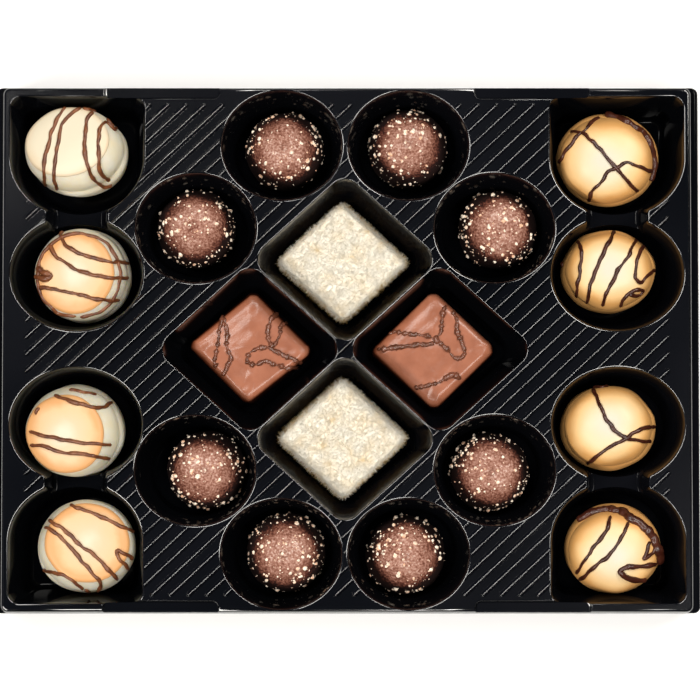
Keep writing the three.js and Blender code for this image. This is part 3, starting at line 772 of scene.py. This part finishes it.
CARAMEL_BALLS = (
    dict(place=(-82.0, 60.2), size=(31.0, 26.6, 27.4), lean=17, towards=130, pale=0.85,
         centre=(77.8, 151.1), lines=(
             ((-3.6, 13.1), (-5.1, 11.3), (-7.3, 6.9), (-8.6, 2.6), (-9.8, -2.1),
              (-10.1, -7.1), (-9.3, -10.3)),
             ((1.1, 13), (-1.9, 11.3), (-4.6, 7.9), (-5.8, 3.9), (-6.6, -1.4),
              (-6.9, -7.1), (-6.1, -12)),
             ((4.5, 11.8), (2.9, 9.6), (2.3, 4.6), (2.2, -0.1), (3.1, -5.1), (4.8, -8.5),
              (7.8, -10.8), (10.1, -9.8)),
             ((12.2, 8.1), (10.8, 6.6), (8.1, 8.6), (6.8, 6.3), (6.1, 1.9), (6.5, -2.8),
              (6.8, -6.5), (9.5, -9.1)),
             ((1.1, 13), (4.5, 12), (7.8, 10.6), (10.8, 6.6)),
         )),
    dict(place=(-79.9, 22.7), size=(29.0, 28.6, 26.4), lean=9, towards=180, pale=0.15,
         centre=(84.5, 276.5), lines=(
             ((-6.3, 13.2), (-6.9, 11.9), (-5.6, 9.6), (-1.9, 7), (3.1, 5.5), (8.1, 3.9),
              (10.8, 4.2), (14.2, 3.7)),
             ((-10.1, 9.6), (-9.9, 7.9), (-7.9, 5.5), (-4.6, 3.2), (-1.2, 1.5), (3.1, 0.3),
              (8.1, -0.7), (13.8, -0.5)),
             ((-14, -3.8), (-10.3, -3.7), (-6.6, -4.3), (-2.6, -5.5), (1.4, -6.3),
              (6.5, -7.4), (10.8, -7.2)),
             (1.5, (-14.3, 2.9), (-12.3, 1.2), (-9.9, -0.2), (-12, -0.8), (-15, 0.2)),
             ((-1.6, -12.4), (-8, -10.7), (-12.4, -6), (-13.9, 0.1), (-12.4, 6.2),
              (-8, 10.8), (-1.6, 12.5), (4.8, 10.8), (9.2, 6.2), (10.8, 0.1), (9.2, -6),
              (4.8, -10.7), (-1.6, -12.4)),
         )),
    dict(place=(-82.0, -24.2), size=(29.4, 28.0, 27.0), lean=14, towards=205, pale=0.15,
         centre=(75.7, 433.7), lines=(
             ((-6.6, 11.4), (-2, 10), (2.7, 8.5), (6.8, 7.8), (9.4, 8.4), (11.4, 9)),
             ((-14, 0.7), (-8.6, -0.7), (-2.6, -2), (2.7, -2.7), (7.4, -3.1), (11.4, -3.6)),
             ((-14, -3.3), (-9.3, -3.8), (-3.3, -5.6), (2.1, -6.2), (6.1, -6.9),
              (14.1, -7.6)),
             ((-11.7, 5.7), (-11.2, 6.7), (-10.5, 7.4)),
             ((-2, 13.1), (2.7, 12.1), (6.8, 11.7)),
         )),
    dict(place=(-78.8, -59.2), size=(30.0, 28.4, 26.6), lean=9, towards=50, pale=0.1,
         centre=(88.5, 547.8), lines=(
             ((-5.3, 13), (-2.1, 11.7), (2.5, 10), (7.1, 7.9), (11.7, 5.9), (14.6, 4.6)),
             ((-11.2, 8.4), (-9.3, 7.3), (-5.9, 4.8), (-2.1, 1.3), (1.8, -1.9), (6, -5.5),
              (10, -9.9)),
             ((-12.6, 5.9), (-10.5, 5.6), (-7.4, 2.9), (-4.4, -0.2), (-1.3, -3.8),
              (1.8, -7.5), (4.3, -10.5), (1.8, -13.2), (-0.5, -12)),
             ((-14.3, -5.4), (-11.6, -6.5), (-8.2, -7.5), (-5.1, -9), (-2.1, -10.9),
              (-0.5, -12)),
             ((14.2, -3.4), (11.3, -1.7), (9, -0.8), (9, -2.1), (10.6, -4), (12.5, -6.3)),
         )),
)
for k, ball in enumerate(CARAMEL_BALLS, 1):
    points, faces, _ = turned(SHELL_PROFILE * BALL_SIZE, BALL_SIDES)
    put = settled(points, ball["lean"], ball["towards"], ball["size"], ball["place"])
    coat = mesh_object(f"white_shell_{k}", uneven_by(put(points), *BALL_WAVE, k), faces,
                       white_coating)
    points, faces, out = turned(DISC_PROFILE * BALL_SIZE, BALL_SIDES)
    disc = mesh_object(f"caramel_disc_{k}", uneven_by(put(points), *BALL_WAVE, k), faces,
                       caramel)
    painted(disc, out=out, pale=ball["pale"])
    threads = poured(f"ball_threads_{k}", (coat, disc), ball["centre"], ball["lines"],
                     milk_thread)
    stands_for(f"caramel_ball_{k}", "caramel_ball", coat, disc, threads)

# ---------------------------------------------------------------------------------------
# The domes of the right column: round cakes of two halves, both coated in cream fondant,
# with dark chocolate poured over them in threads and in thick arcs along the seam.
# ---------------------------------------------------------------------------------------
DOME_WAVE = (8.0, 0.5)
BASE_PROFILE = (
    (0, 0), (0.5, 0.0), (0.74, 0.05), (0.9, 0.18), (1, 0.38), (0.995, 0.5), (0.95, 0.6),
    (0.85, 0.66), (0.5, 0.7), (0, 0.7),
)
CAP_PROFILE = (
    (0, 0.5), (0.6, 0.5), (0.87, 0.52), (0.925, 0.6), (0.915, 0.7), (0.85, 0.81),
    (0.72, 0.895), (0.5, 0.96), (0.25, 0.99), (0, 1),
)

# Cream fondant: satin, pale yellow on top and caramel brown where the side turns down,
# partly toasted and partly painted shade where the side turns from the light.
fondant, tree, shader = new_material("cream_fondant_toasted_painted_shade")
place = add(tree, "ShaderNodeTexCoord").outputs["Object"]
out = add(tree, "ShaderNodeAttribute", attribute_name="out").outputs["Fac"]
cloud = add(tree, "ShaderNodeTexNoise", {"Vector": place, "Scale": 90.0, "Detail": 3.0})
drift = add(tree, "MULTIPLY_ADD", (cloud.outputs["Fac"], 0.35, out))
tint = add(tree, "ShaderNodeValToRGB", {"Fac": drift},
           stops=((0.3, "#d4cab6"), (0.62, "#e0cba4"), (0.85, "#ecc389"), (1.0, "#e0a763")))
wavy = add(tree, "ShaderNodeBump", {"Height": cloud.outputs["Fac"], "Strength": 0.2,
                                    "Distance": 0.0005})
feed(tree, shader, {"Base Color": tint, "Normal": wavy, "Roughness": 0.42, "IOR": 1.46})

# Dark chocolate threads: nearly black brown, smooth and a little glossy.
dark_thread = streaked("dark_chocolate_threads", 420.0, 2.0,
                       ((0.35, "#32130a"), (0.7, "#4e281b")), {"Roughness": 0.3, "IOR": 1.46})

CREAM_DOMES = (
    dict(place=(79.4, 58.2), size=(31.0, 28.0, 26.4), lean=12, towards=222,
         centre=(606.7, 160.9), lines=(
        ((-1.7, 12.9), (-4.7, 10.9), (-7.4, 8.2), (-10, 5.5), (-12.7, 2.2), (-14.4, -0.8)),
        ((-10.7, 8.7), (-7.4, 8.3), (-4.7, 6.2), (-2, 3.5), (0.7, 0.2), (4.7, -4.5),
         (9.4, -9.5)),
        ((-5.4, -12.2), (-4.4, -9.2), (-2, -6.9), (0, -3.9), (2.3, -2.5), (4.4, -1),
         (7.4, -1), (10.7, -2.2), (13.7, -3.3)),
        (1.9, (-0.7, 13.6), (3.3, 12.6), (7.4, 10.5), (11.4, 7.5), (13.4, 2.8),
         (13.7, -2.5), (12.4, -6.5)),
    )),
    dict(place=(79.4, 24.1), size=(28.4, 25.4, 26.0), lean=3, towards=200,
         centre=(607.8, 267.7), lines=(
        ((-10, 8.8), (-8, 6.1), (-7.7, 3.4), (-8.4, -0.6), (-8.9, -4.6), (-9.4, -9.3)),
        ((3, 12.4), (1, 8.8), (-1.7, 3.4), (-4, -1.9), (-5.7, -6.6), (-6.4, -11.3)),
        ((9.4, 9.1), (7.4, 6.4), (5.7, 2.7), (3.4, -0.6), (1, -4.6), (-0.7, -8.6),
         (-1.8, -12)),
        ((11.7, 7.4), (9.7, 5.1), (8.4, 2.1), (7.8, -1.9), (8.7, -4.3), (10.4, -3.6),
         (14.1, -0.3)),
        ((3.4, -12), (5, -9), (7.7, -7), (10.4, -7), (9, -8.3), (5.4, -8.5)),
        ((-12, 5.4), (-13.4, 2.7), (-13.9, 0.1)),
    )),
    dict(place=(79.2, -23.4), size=(28.8, 26.0, 26.0), lean=5, towards=150,
         centre=(607.3, 426.8), lines=(
        ((-4.9, 11.7), (-3.5, 9), (-2.2, 5.6), (-0.5, 2.3), (1.8, -1.1), (5.2, -3.4),
         (9.2, -4.3), (13.2, -4.8)),
        ((-6.5, -11.1), (-3.5, -8.8), (-0.2, -6.4), (3.2, -4.4), (5.8, -3.1), (8.5, -1.4),
         (11.2, -0.4), (14.9, 0.1)),
        ((-6.2, 11.7), (-2.2, 11.5), (2.5, 12.5)),
    )),
    dict(place=(80.4, -59.9), size=(29.2, 27.0, 26.0), lean=9, towards=260,
         centre=(611.7, 548.7), lines=(
        (2.4, (-10.9, 7.7), (-7.5, 10.1), (-3.5, 11.3), (0.5, 11.3), (4.5, 9.7), (7.9, 7),
         (11.2, 4), (12.6, 0.7), (13.2, -4)),
        ((-0.8, 10.1), (-1.5, 6.7), (-4.2, 2.7), (-6.9, -0.7), (-8.9, -4), (-11.5, -8)),
        ((4.5, 8.7), (2.9, 4.7), (0.5, 0.7), (-1.5, -2), (-4.2, -4), (-7.5, -6.7),
         (-10.5, -9.4)),
        (1.4, (13.9, -3.7), (8.5, -5), (3.9, -5), (1.8, -6.3), (2.9, -8), (7.2, -9),
         (11.9, -8.7)),
        ((10.6, 2.7), (9.9, -0.7), (8.9, -3), (11.2, -1.3), (12.6, 1.4)),
    )),
)
for k, dome in enumerate(CREAM_DOMES, 1):
    bodies = [turned(profile * BALL_SIZE, BALL_SIDES) for profile in (BASE_PROFILE, CAP_PROFILE)]
    put = settled(np.vstack([points for points, _, _ in bodies]), dome["lean"],
                  dome["towards"], dome["size"], dome["place"])
    halves = []
    for half, (points, faces, _) in zip(("base", "cap"), bodies):
        out = np.hypot(points[:, 0], points[:, 1]) / BALL_SIZE[0]
        body = mesh_object(f"cream_dome_{half}_{k}",
                           uneven_by(put(points), *DOME_WAVE, 10 + k), faces, fondant)
        # Painted shade with toasting: the base half takes the darkest edge colour, and the cap
        # darkens outwards.
        painted(body, out=1.0 if half == "base" else out)
        halves.append(body)
    threads = poured(f"dome_threads_{k}", halves, dome["centre"], dome["lines"], dark_thread)
    stands_for(f"cream_dome_{k}", "cream_dome", *halves, threads)

# ---------------------------------------------------------------------------------------
# The truffles: chocolate drops with a small tip, rolled in cocoa powder, with pale biscuit
# crumbs that stick mostly in a ring round the flank. Geometry Nodes scatter the crumbs.
# ---------------------------------------------------------------------------------------
TRUFFLE_SIZE = np.array([12.0, 20.0])
TRUFFLE_WIDEST = 0.32
TRUFFLE_PROFILE = (
    (0, 0), (0.6, 0.0), (0.82, 0.05), (0.95, 0.15), (1, 0.32), (0.97, 0.48), (0.88, 0.64),
    (0.72, 0.78), (0.48, 0.885), (0.22, 0.94), (0.1, 0.965), (0.05, 0.99), (0, 1),
)
TRUFFLES = (
    (-19.1, 61.2), (18.5, 62.1), (-46.1, 37.4), (46.1, 37.1),
    (-42.9, -36.3), (43.4, -36.7), (-18.5, -61.3), (17.7, -61.9),
)


FULL_TURN = 6.28
MOSTLY_FINE = 2.2


def crumb_tree():
    tree, given = new_tree("crumbs", {"Geometry": "Geometry", "Density": 4.8e5,
        "Smallest": 0.00013, "Largest": 0.00074, "Seed": 1, "Material": "Material"})
    normal = add(tree, "GeometryNodeInputNormal").outputs[0]
    upright = add(tree, "ShaderNodeSeparateXYZ", {0: normal}).outputs[2]
    on_top = add(tree, "ShaderNodeMapRange", {"Value": upright, "From Min": 0.62,
                                              "From Max": 0.95, "To Min": 1.0, "To Max": 0.95})
    on_side = add(tree, "ShaderNodeMapRange", {"Value": upright, "From Min": -0.1,
                                               "From Max": 0.5, "To Min": 0.15, "To Max": 1.0})
    place = add(tree, "GeometryNodeInputPosition").outputs[0]
    patch = add(tree, "ShaderNodeTexNoise", {"Vector": place, "Scale": 130.0, "Detail": 1.0})
    clumps = add(tree, "ShaderNodeMapRange", {"Value": patch.outputs["Fac"], "From Min": 0.4,
                                              "From Max": 0.62, "To Min": 0.2, "To Max": 1.0})
    ring = add(tree, "MULTIPLY", (on_top, on_side))
    density = add(tree, "MULTIPLY", (add(tree, "MULTIPLY", (ring, clumps)), given["Density"]))
    points = add(tree, "GeometryNodeDistributePointsOnFaces",
                 {"Mesh": given["Geometry"], "Density": density, "Seed": given["Seed"]})
    grain = add(tree, "GeometryNodeMeshIcoSphere", {"Radius": 1.0, "Subdivisions": 1})
    chance = add(tree, "FunctionNodeRandomValue", {"Seed": 3}).outputs[1]
    rare = add(tree, "POWER", (chance, MOSTLY_FINE))
    size = add(tree, "ShaderNodeMapRange", {"Value": rare, "To Min": given["Smallest"],
                                            "To Max": given["Largest"]}).outputs[0]
    shape = add(tree, "FunctionNodeRandomValue", {0: (0.6, 0.6, 0.6), 1: (1.3, 1.3, 1.3),
                                                  "Seed": 5}, data_type="FLOAT_VECTOR")
    scale = add(tree, "ShaderNodeVectorMath", {0: shape, "Scale": size}, operation="SCALE")
    spin = add(tree, "FunctionNodeRandomValue", {0: (0, 0, 0), 1: (FULL_TURN,) * 3, "Seed": 7},
               data_type="FLOAT_VECTOR")
    placed = add(tree, "GeometryNodeInstanceOnPoints", {"Points": points.outputs["Points"],
                                                        "Instance": grain, "Rotation": spin,
                                                        "Scale": scale})
    return finished(tree, placed, given)


# Cocoa powder over chocolate: matte and dusty, lighter on top and dark red-brown down the
# side, which is painted shade of the flank that turns from the light.
cocoa, tree, shader = new_material("cocoa_powder_on_chocolate")
place = add(tree, "ShaderNodeTexCoord").outputs["Object"]
# The side value is painted shade, darker down the flank.
painted_flank_shade = add(tree, "ShaderNodeAttribute", attribute_name="side").outputs["Fac"]
grit = add(tree, "ShaderNodeTexNoise", {"Vector": place, "Scale": 1500.0, "Detail": 3.0})
cloud = add(tree, "ShaderNodeTexNoise", {"Vector": place, "Scale": 160.0, "Detail": 3.0})
drift = add(tree, "MULTIPLY_ADD", (cloud.outputs["Fac"], 0.35, painted_flank_shade))
speck = add(tree, "MULTIPLY_ADD", (grit.outputs["Fac"], 0.8, drift))
tint = add(tree, "ShaderNodeValToRGB", {"Fac": speck},
           stops=((0.34, "#dcc2b6"), (0.52, "#ab8070"), (0.7, "#7d4f3f"), (0.87, "#4a2217"),
                  (1.0, "#1c0805")))
rough = add(tree, "ShaderNodeBump", {"Height": grit.outputs["Fac"], "Strength": 0.6,
                                     "Distance": 0.0003})
feed(tree, shader, {"Base Color": tint, "Normal": rough, "Roughness": 0.85,
                    "Specular IOR Level": 0.25})

# Biscuit crumbs: dry, pale and sandy.
biscuit = streaked("biscuit_crumbs", 700.0, 1.0,
                   ((0.35, "#e3b391"), (0.6, "#fff0dc")), {"Roughness": 0.7})

drops = []
for k, (x, y) in enumerate(TRUFFLES, 1):
    points, faces, out = turned(TRUFFLE_PROFILE * TRUFFLE_SIZE, BALL_SIDES)
    height = points[:, 2] / TRUFFLE_SIZE[1]
    # Painted shade: 0 on the lit top, rising outwards, and 1 at and below the widest point.
    side = np.where(height > TRUFFLE_WIDEST, out ** 4.5, 1.0)
    for wave, depth, seed in ((7.0, 0.45, 20), (1.6, 0.16, 40)):
        points = uneven_by(points, wave, depth, seed + k)
    points += np.array([x, y, WELL_FLOOR - points[:, 2].min()])
    drop = mesh_object(f"cocoa_drop_{k}", points, faces, cocoa)
    painted(drop, side=side)
    stands_for(f"cocoa_truffle_{k}", "truffle", drop)
    drops.append(drop)
crumbs = grown("biscuit_crumbs", crumb_tree(), {"Material": biscuit}, joined(drops))
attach(crumbs, "root")

# ---------------------------------------------------------------------------------------
# The coconut squares: soft white coconut cut in squares that stand on their corner, all
# over shaggy with fine shreds. Geometry Nodes scatter the shreds over a lumpy core.
# ---------------------------------------------------------------------------------------
CROWN = 0.5
SQUARE_SPREAD = 1.42


def square_levels(half_x, half_y, height, edge, corner):
    """Outlines of a square sweet: soft foot, upright side, round edge, crowned top."""
    levels = [(1.0, 0), (0.3, 0.3), (0, 1.0), (0, height * 0.4), (0.1, height * 0.7)]
    for drawn, lower in quarter_turn(6):
        levels.append((0.2 + edge * drawn, height - CROWN - edge * lower))
    made = []
    for inset, z in levels:
        spread = SQUARE_SPREAD * inset
        made.append((diamond(half_x - spread, half_y - spread, corner, 0, 14), z))
    rim, top = made[-1]
    for share in np.linspace(0.92, 0.04, 12):
        crown = CROWN * (1 - share * share)
        made.append(([(x * share, y * share) for x, y in rim], top + crown))
    return made


def square_body(name, place, half, shape, turn, waves, seed, material):
    """A square sweet in its well. Its shape is its height, edge and corner rounding."""
    points, faces = loft(square_levels(*half, *shape))
    points = np.array(points, float)
    for wave, depth in waves:
        points = uneven_by(points, wave, depth, seed)
    angle = math.radians(turn)
    spin = np.array([[math.cos(angle), -math.sin(angle)], [math.sin(angle), math.cos(angle)]])
    points[:, :2] = points[:, :2] @ spin.T + np.array(place)
    points[:, 2] += WELL_FLOOR - points[:, 2].min()
    return mesh_object(name, points, faces, material)


LOWEST_LEAN = -0.3
TAPER = 0.7


def shred_tree():
    tree, given = new_tree("coconut_shreds", {"Geometry": "Geometry", "Density": 1.0e7,
        "Length": 0.0017, "Half width": 0.00008, "Lean": 1.45, "Lowest": 0.0028, "Seed": 2,
        "Material": "Material"})
    normal = add(tree, "GeometryNodeInputNormal").outputs[0]
    upright = add(tree, "ShaderNodeSeparateXYZ", {0: normal}).outputs[2]
    place = add(tree, "GeometryNodeInputPosition").outputs[0]
    height = add(tree, "ShaderNodeSeparateXYZ", {0: place}).outputs[2]
    open_side = add(tree, "GREATER_THAN", (upright, LOWEST_LEAN))
    clear = add(tree, "MULTIPLY", (open_side, add(tree, "GREATER_THAN", (height,
                                                                         given["Lowest"]))))
    density = add(tree, "MULTIPLY", (clear, given["Density"]))
    points = add(tree, "GeometryNodeDistributePointsOnFaces",
                 {"Mesh": given["Geometry"], "Density": density, "Seed": given["Seed"]})
    tip = add(tree, "ShaderNodeCombineXYZ", {0: 0.0, 1: 0.0, 2: given["Length"]})
    line = add(tree, "GeometryNodeCurvePrimitiveLine", {"Start": (0, 0, 0), "End": tip})
    ring = add(tree, "GeometryNodeCurvePrimitiveCircle", {"Resolution": 3,
                                                          "Radius": given["Half width"]})
    part = add(tree, "GeometryNodeSplineParameter").outputs["Factor"]
    taper = add(tree, "SUBTRACT", (1.0, add(tree, "MULTIPLY", (part, TAPER))))
    strip = add(tree, "GeometryNodeCurveToMesh", {"Curve": line, "Profile Curve": ring,
                                                  "Scale": taper, "Fill Caps": True})
    back = add(tree, "MULTIPLY", (given["Lean"], -1.0))
    least = add(tree, "ShaderNodeCombineXYZ", (back, back, 0.0))
    most = add(tree, "ShaderNodeCombineXYZ", (given["Lean"], given["Lean"], FULL_TURN))
    tilt = add(tree, "FunctionNodeRandomValue", {0: least, 1: most, "Seed": 11},
               data_type="FLOAT_VECTOR")
    turned_to = add(tree, "FunctionNodeRotateRotation", {0: points.outputs["Rotation"], 1: tilt},
                    rotation_space="LOCAL")
    length = add(tree, "FunctionNodeRandomValue", {2: 0.45, 3: 1.15, "Seed": 13}).outputs[1]
    placed = add(tree, "GeometryNodeInstanceOnPoints", {"Points": points.outputs["Points"],
                                                        "Instance": strip, "Rotation": turned_to,
                                                        "Scale": length})
    return finished(tree, placed, given)


# Dried coconut: warm white and fibrous, matte. It is browner and darker down the sides:
# painted shade.
dried_coconut, tree, shader = new_material("dried_coconut_shreds")
place = add(tree, "ShaderNodeTexCoord").outputs["Object"]
fibre = add(tree, "ShaderNodeTexNoise", {"Vector": place, "Scale": 260.0, "Detail": 3.0})
height = add(tree, "ShaderNodeSeparateXYZ", {0: place}).outputs["Z"]
# Painted shade: the lower the surface, the browner and darker its colour.
painted_low_shade = add(tree, "ShaderNodeMapRange", {"Value": height, "From Min": 0.0085, "From Max": 0.0152,
                                         "To Min": -0.6, "To Max": 0.0})
drift = add(tree, "ADD", (fibre.outputs["Fac"], painted_low_shade.outputs["Result"]))
tint = add(tree, "ShaderNodeValToRGB", {"Fac": drift},
           stops=((0.05, "#c09a5c"), (0.2, "#ecd6a8"), (0.34, "#ede3cf"), (0.6, "#eee9dd")))
rough = add(tree, "ShaderNodeBump", {"Height": fibre.outputs["Fac"], "Strength": 0.1,
                                     "Distance": 0.0003})
feed(tree, shader, {"Base Color": tint, "Normal": rough, "Roughness": 0.9,
                    "Specular IOR Level": 0.3})

COCONUT_HALF = (19.3, 17.7)
COCONUT_SHAPE = (15.2, 1.3, 1.2)
COCONUT_WAVES = ((6.0, 0.5), (1.5, 0.3))
COCONUT_SQUARES = ((-1.4, 26.9), (-1.4, -26.6))
SHREDS = shred_tree()
for k, place in enumerate(COCONUT_SQUARES, 1):
    core = square_body(f"coconut_core_{k}", place, COCONUT_HALF, COCONUT_SHAPE, 0,
                       COCONUT_WAVES, 60 + k, dried_coconut)
    shreds = grown(f"coconut_shreds_{k}", SHREDS,
                   {"Material": dried_coconut, "Seed": k}, core.data.copy())
    stands_for(f"coconut_square_{k}", "coconut", core, shreds)

# ---------------------------------------------------------------------------------------
# The milk chocolate squares: enrobed biscuits on their corner. The coating ran and set in
# soft waves, and thin beaded threads of the same chocolate were poured over it.
# ---------------------------------------------------------------------------------------
MILK_SHAPE = (14.9, 2.7, 2.4)
MILK_WAVES = ((6.0, 0.7), (2.6, 0.4))
PAINTED_SHADE_DEPTH = 1.35
MILK_SQUARES = (
    dict(place=(-29.2, 0.9), half=(19.5, 17.8), turn=-3, centre=(250.9, 347.7), lines=(
        ((-8.5, 9.3), (-9.2, 5.5), (-9.9, 0.6), (-10.7, -3.9), (-9.9, -5.9)),
        ((-8, 9), (-7, 4), (-7.2, 0.6), (-6, -3.4), (-7, -5.9), (-8.5, -8.9)),
        ((8.2, 10.5), (6, 8), (5.2, 4.5), (5.5, 1.6), (6.7, 0.6), (9, 3.5), (9, 6),
         (10.9, 7)),
        ((15.2, -4.7), (11.9, -3.4), (8.5, -1.7), (4.5, 0.1), (1, -0.9), (-1, -2.9),
         (-0.2, -5.2), (1.7, -5.4), (4, -4.2), (7, -5.2), (10.9, -6.2), (14.9, -5.9)),
    )),
    dict(place=(26.2, 0.1), half=(19.4, 18.5), turn=0, centre=(431.2, 350), lines=(
        ((4.7, 13.4), (3.5, 11.2), (3, 7.7), (2.5, 4.7), (1.2, 3), (3, 1.7), (5, -0.7),
         (7.5, -2.5), (9.7, -1.7), (9.5, 1.2), (8.2, 4.2), (7.5, 8.2), (6.5, 11.7)),
        ((-14.2, 4), (-10.9, 5), (-7.5, 4.7), (-4, 4.2), (-1, 3.7), (1.2, 3)),
        ((-16.7, -0.2), (-12.4, 0.3), (-7.5, 1), (-3.5, 1.5), (1.2, 2)),
        ((-5, -11.4), (-1, -10.7), (2.5, -9.7), (5, -8), (7, -7.7), (9, -8.5)),
    )),
)

# Milk chocolate coating: warm brown and satin, with painted shade that darkens it down the
# edges.
milk_coating, tree, shader = new_material("milk_chocolate_coating")
place = add(tree, "ShaderNodeTexCoord").outputs["Object"]
# The side value is painted shade on the lower edges.
edge = add(tree, "ShaderNodeAttribute", attribute_name="side").outputs["Fac"]
cloud = add(tree, "ShaderNodeTexNoise", {"Vector": place, "Scale": 200.0, "Detail": 3.0})
drift = add(tree, "MULTIPLY_ADD", (cloud.outputs["Fac"], 0.4, edge))
tint = add(tree, "ShaderNodeValToRGB", {"Fac": drift}, stops=((0.1, "#a5684e"), (0.5, "#733d26"),
                                                              (1.0, "#3a180b")))
wavy = add(tree, "ShaderNodeBump", {"Height": cloud.outputs["Fac"], "Strength": 0.35,
                                    "Distance": 0.0006})
feed(tree, shader, {"Base Color": tint, "Normal": wavy, "Roughness": 0.28, "IOR": 1.5})

# The same chocolate, cooler when poured: it set in beads with a greyer, brighter gloss.
bead = streaked("milk_chocolate_beads", 500.0, 2.0,
                ((0.35, "#56301f"), (0.7, "#7a4a38")), {"Roughness": 0.22, "IOR": 1.5})

for k, square in enumerate(MILK_SQUARES, 1):
    body = square_body(f"milk_coating_{k}", square["place"], square["half"], MILK_SHAPE,
                       square["turn"], MILK_WAVES, 80 + k, milk_coating)
    heights = np.array([v.co.z for v in body.data.vertices])
    # Painted shade: the coating darkens over a few mm below its top, down the edges.
    painted(body, side=np.clip((MILK_SHAPE[0] * MM - heights) / (PAINTED_SHADE_DEPTH * MM), 0, 1))
    threads = poured(f"milk_threads_{k}", (body,), square["centre"], square["lines"],
                     bead, **{"Half width": 0.00064, "Swell": 1.25, "Wave": 760.0})
    stands_for(f"milk_square_{k}", "milk_chocolate", body, threads)

# ---------------------------------------------------------------------------------------
# The setting: a white table, a camera straight above, and four strip lights. Two stand near
# and high across the ribs, so that ribs and rims draw thin lines on the dark tray, and two
# stand lower and further away, and light the sweets' sides.
# ---------------------------------------------------------------------------------------
AIM = Vector((0.9, -0.3, DECK)) * MM
VIEW_WIDTH = 209.3
TABLE_HALF = 2500
SENSOR = 36.0
STRIP_SIZE = (0.84, 0.15)
WARM_WHITE = (1.0, 0.965, 0.91)

card, tree, shader = new_material("white_card")
feed(tree, shader, {"Base Color": colour("#fcfcfc"), "Roughness": 0.9, "Specular IOR Level": 0.0,
                    "Emission Color": (1.0, 1.0, 1.0, 1.0), "Emission Strength": 0.15})
floor = mesh_object("table", [(x * TABLE_HALF, y * TABLE_HALF, 0)
                              for x, y in ((-1, -1), (1, -1), (1, 1), (-1, 1))],
                    [(0, 1, 2, 3)], card)

for name, towards, power, away, height in (
        ("front_right", -47, 8.0, 0.52, 1.25), ("back_left", 133, 7.0, 0.52, 1.25),
        ("back_right", 43, 11.0, 0.88, 1.12), ("front_left", 223, 11.0, 0.88, 1.12)):
    light = bpy.data.lights.new("strip_" + name, "AREA")
    light.shape = "RECTANGLE"
    light.size, light.size_y = STRIP_SIZE
    light.energy = power
    light.color = WARM_WHITE
    turn = math.radians(towards)
    across = Vector((math.cos(turn), math.sin(turn), 0))
    long_side = Vector((-across.y, across.x, 0))
    place = away * across + Vector((0, 0, height))
    facing = place.normalized()
    lamp = bpy.data.objects.new("strip_" + name, light)
    lamp.location = place
    axes = Matrix((long_side, facing.cross(long_side), facing)).transposed()
    lamp.rotation_euler = axes.to_euler()
    bpy.context.scene.collection.objects.link(lamp)

# The room: a dim ceiling that is a little lighter at the upper left, and dark walls.
world = bpy.data.worlds.new("dim_room")
world.use_nodes = True
tree = world.node_tree
way = add(tree, "ShaderNodeTexCoord").outputs["Generated"]
slant = add(tree, "ShaderNodeVectorMath", {0: way, 1: (-0.5, 0.3, 0.75)},
            operation="DOT_PRODUCT").outputs["Value"]
sky = add(tree, "ShaderNodeValToRGB", {"Fac": slant}, stops=((0.3, "#0a0a0e"), (0.76, "#1a202e"),
                                                             (1.0, "#545561")))
feed(tree, tree.nodes["Background"], {"Color": sky})
bpy.context.scene.world = world
bpy.context.scene.view_settings.view_transform = "Standard"

lens = bpy.data.cameras.new("camera")
lens.sensor_width = SENSOR
lens.lens = SENSOR * (EYE - AIM).length / (VIEW_WIDTH * MM)
camera = bpy.data.objects.new("camera", lens)
camera.location = EYE
camera.rotation_euler = (AIM - EYE).to_track_quat("-Z", "Y").to_euler()
bpy.context.scene.collection.objects.link(camera)
bpy.context.scene.camera = camera
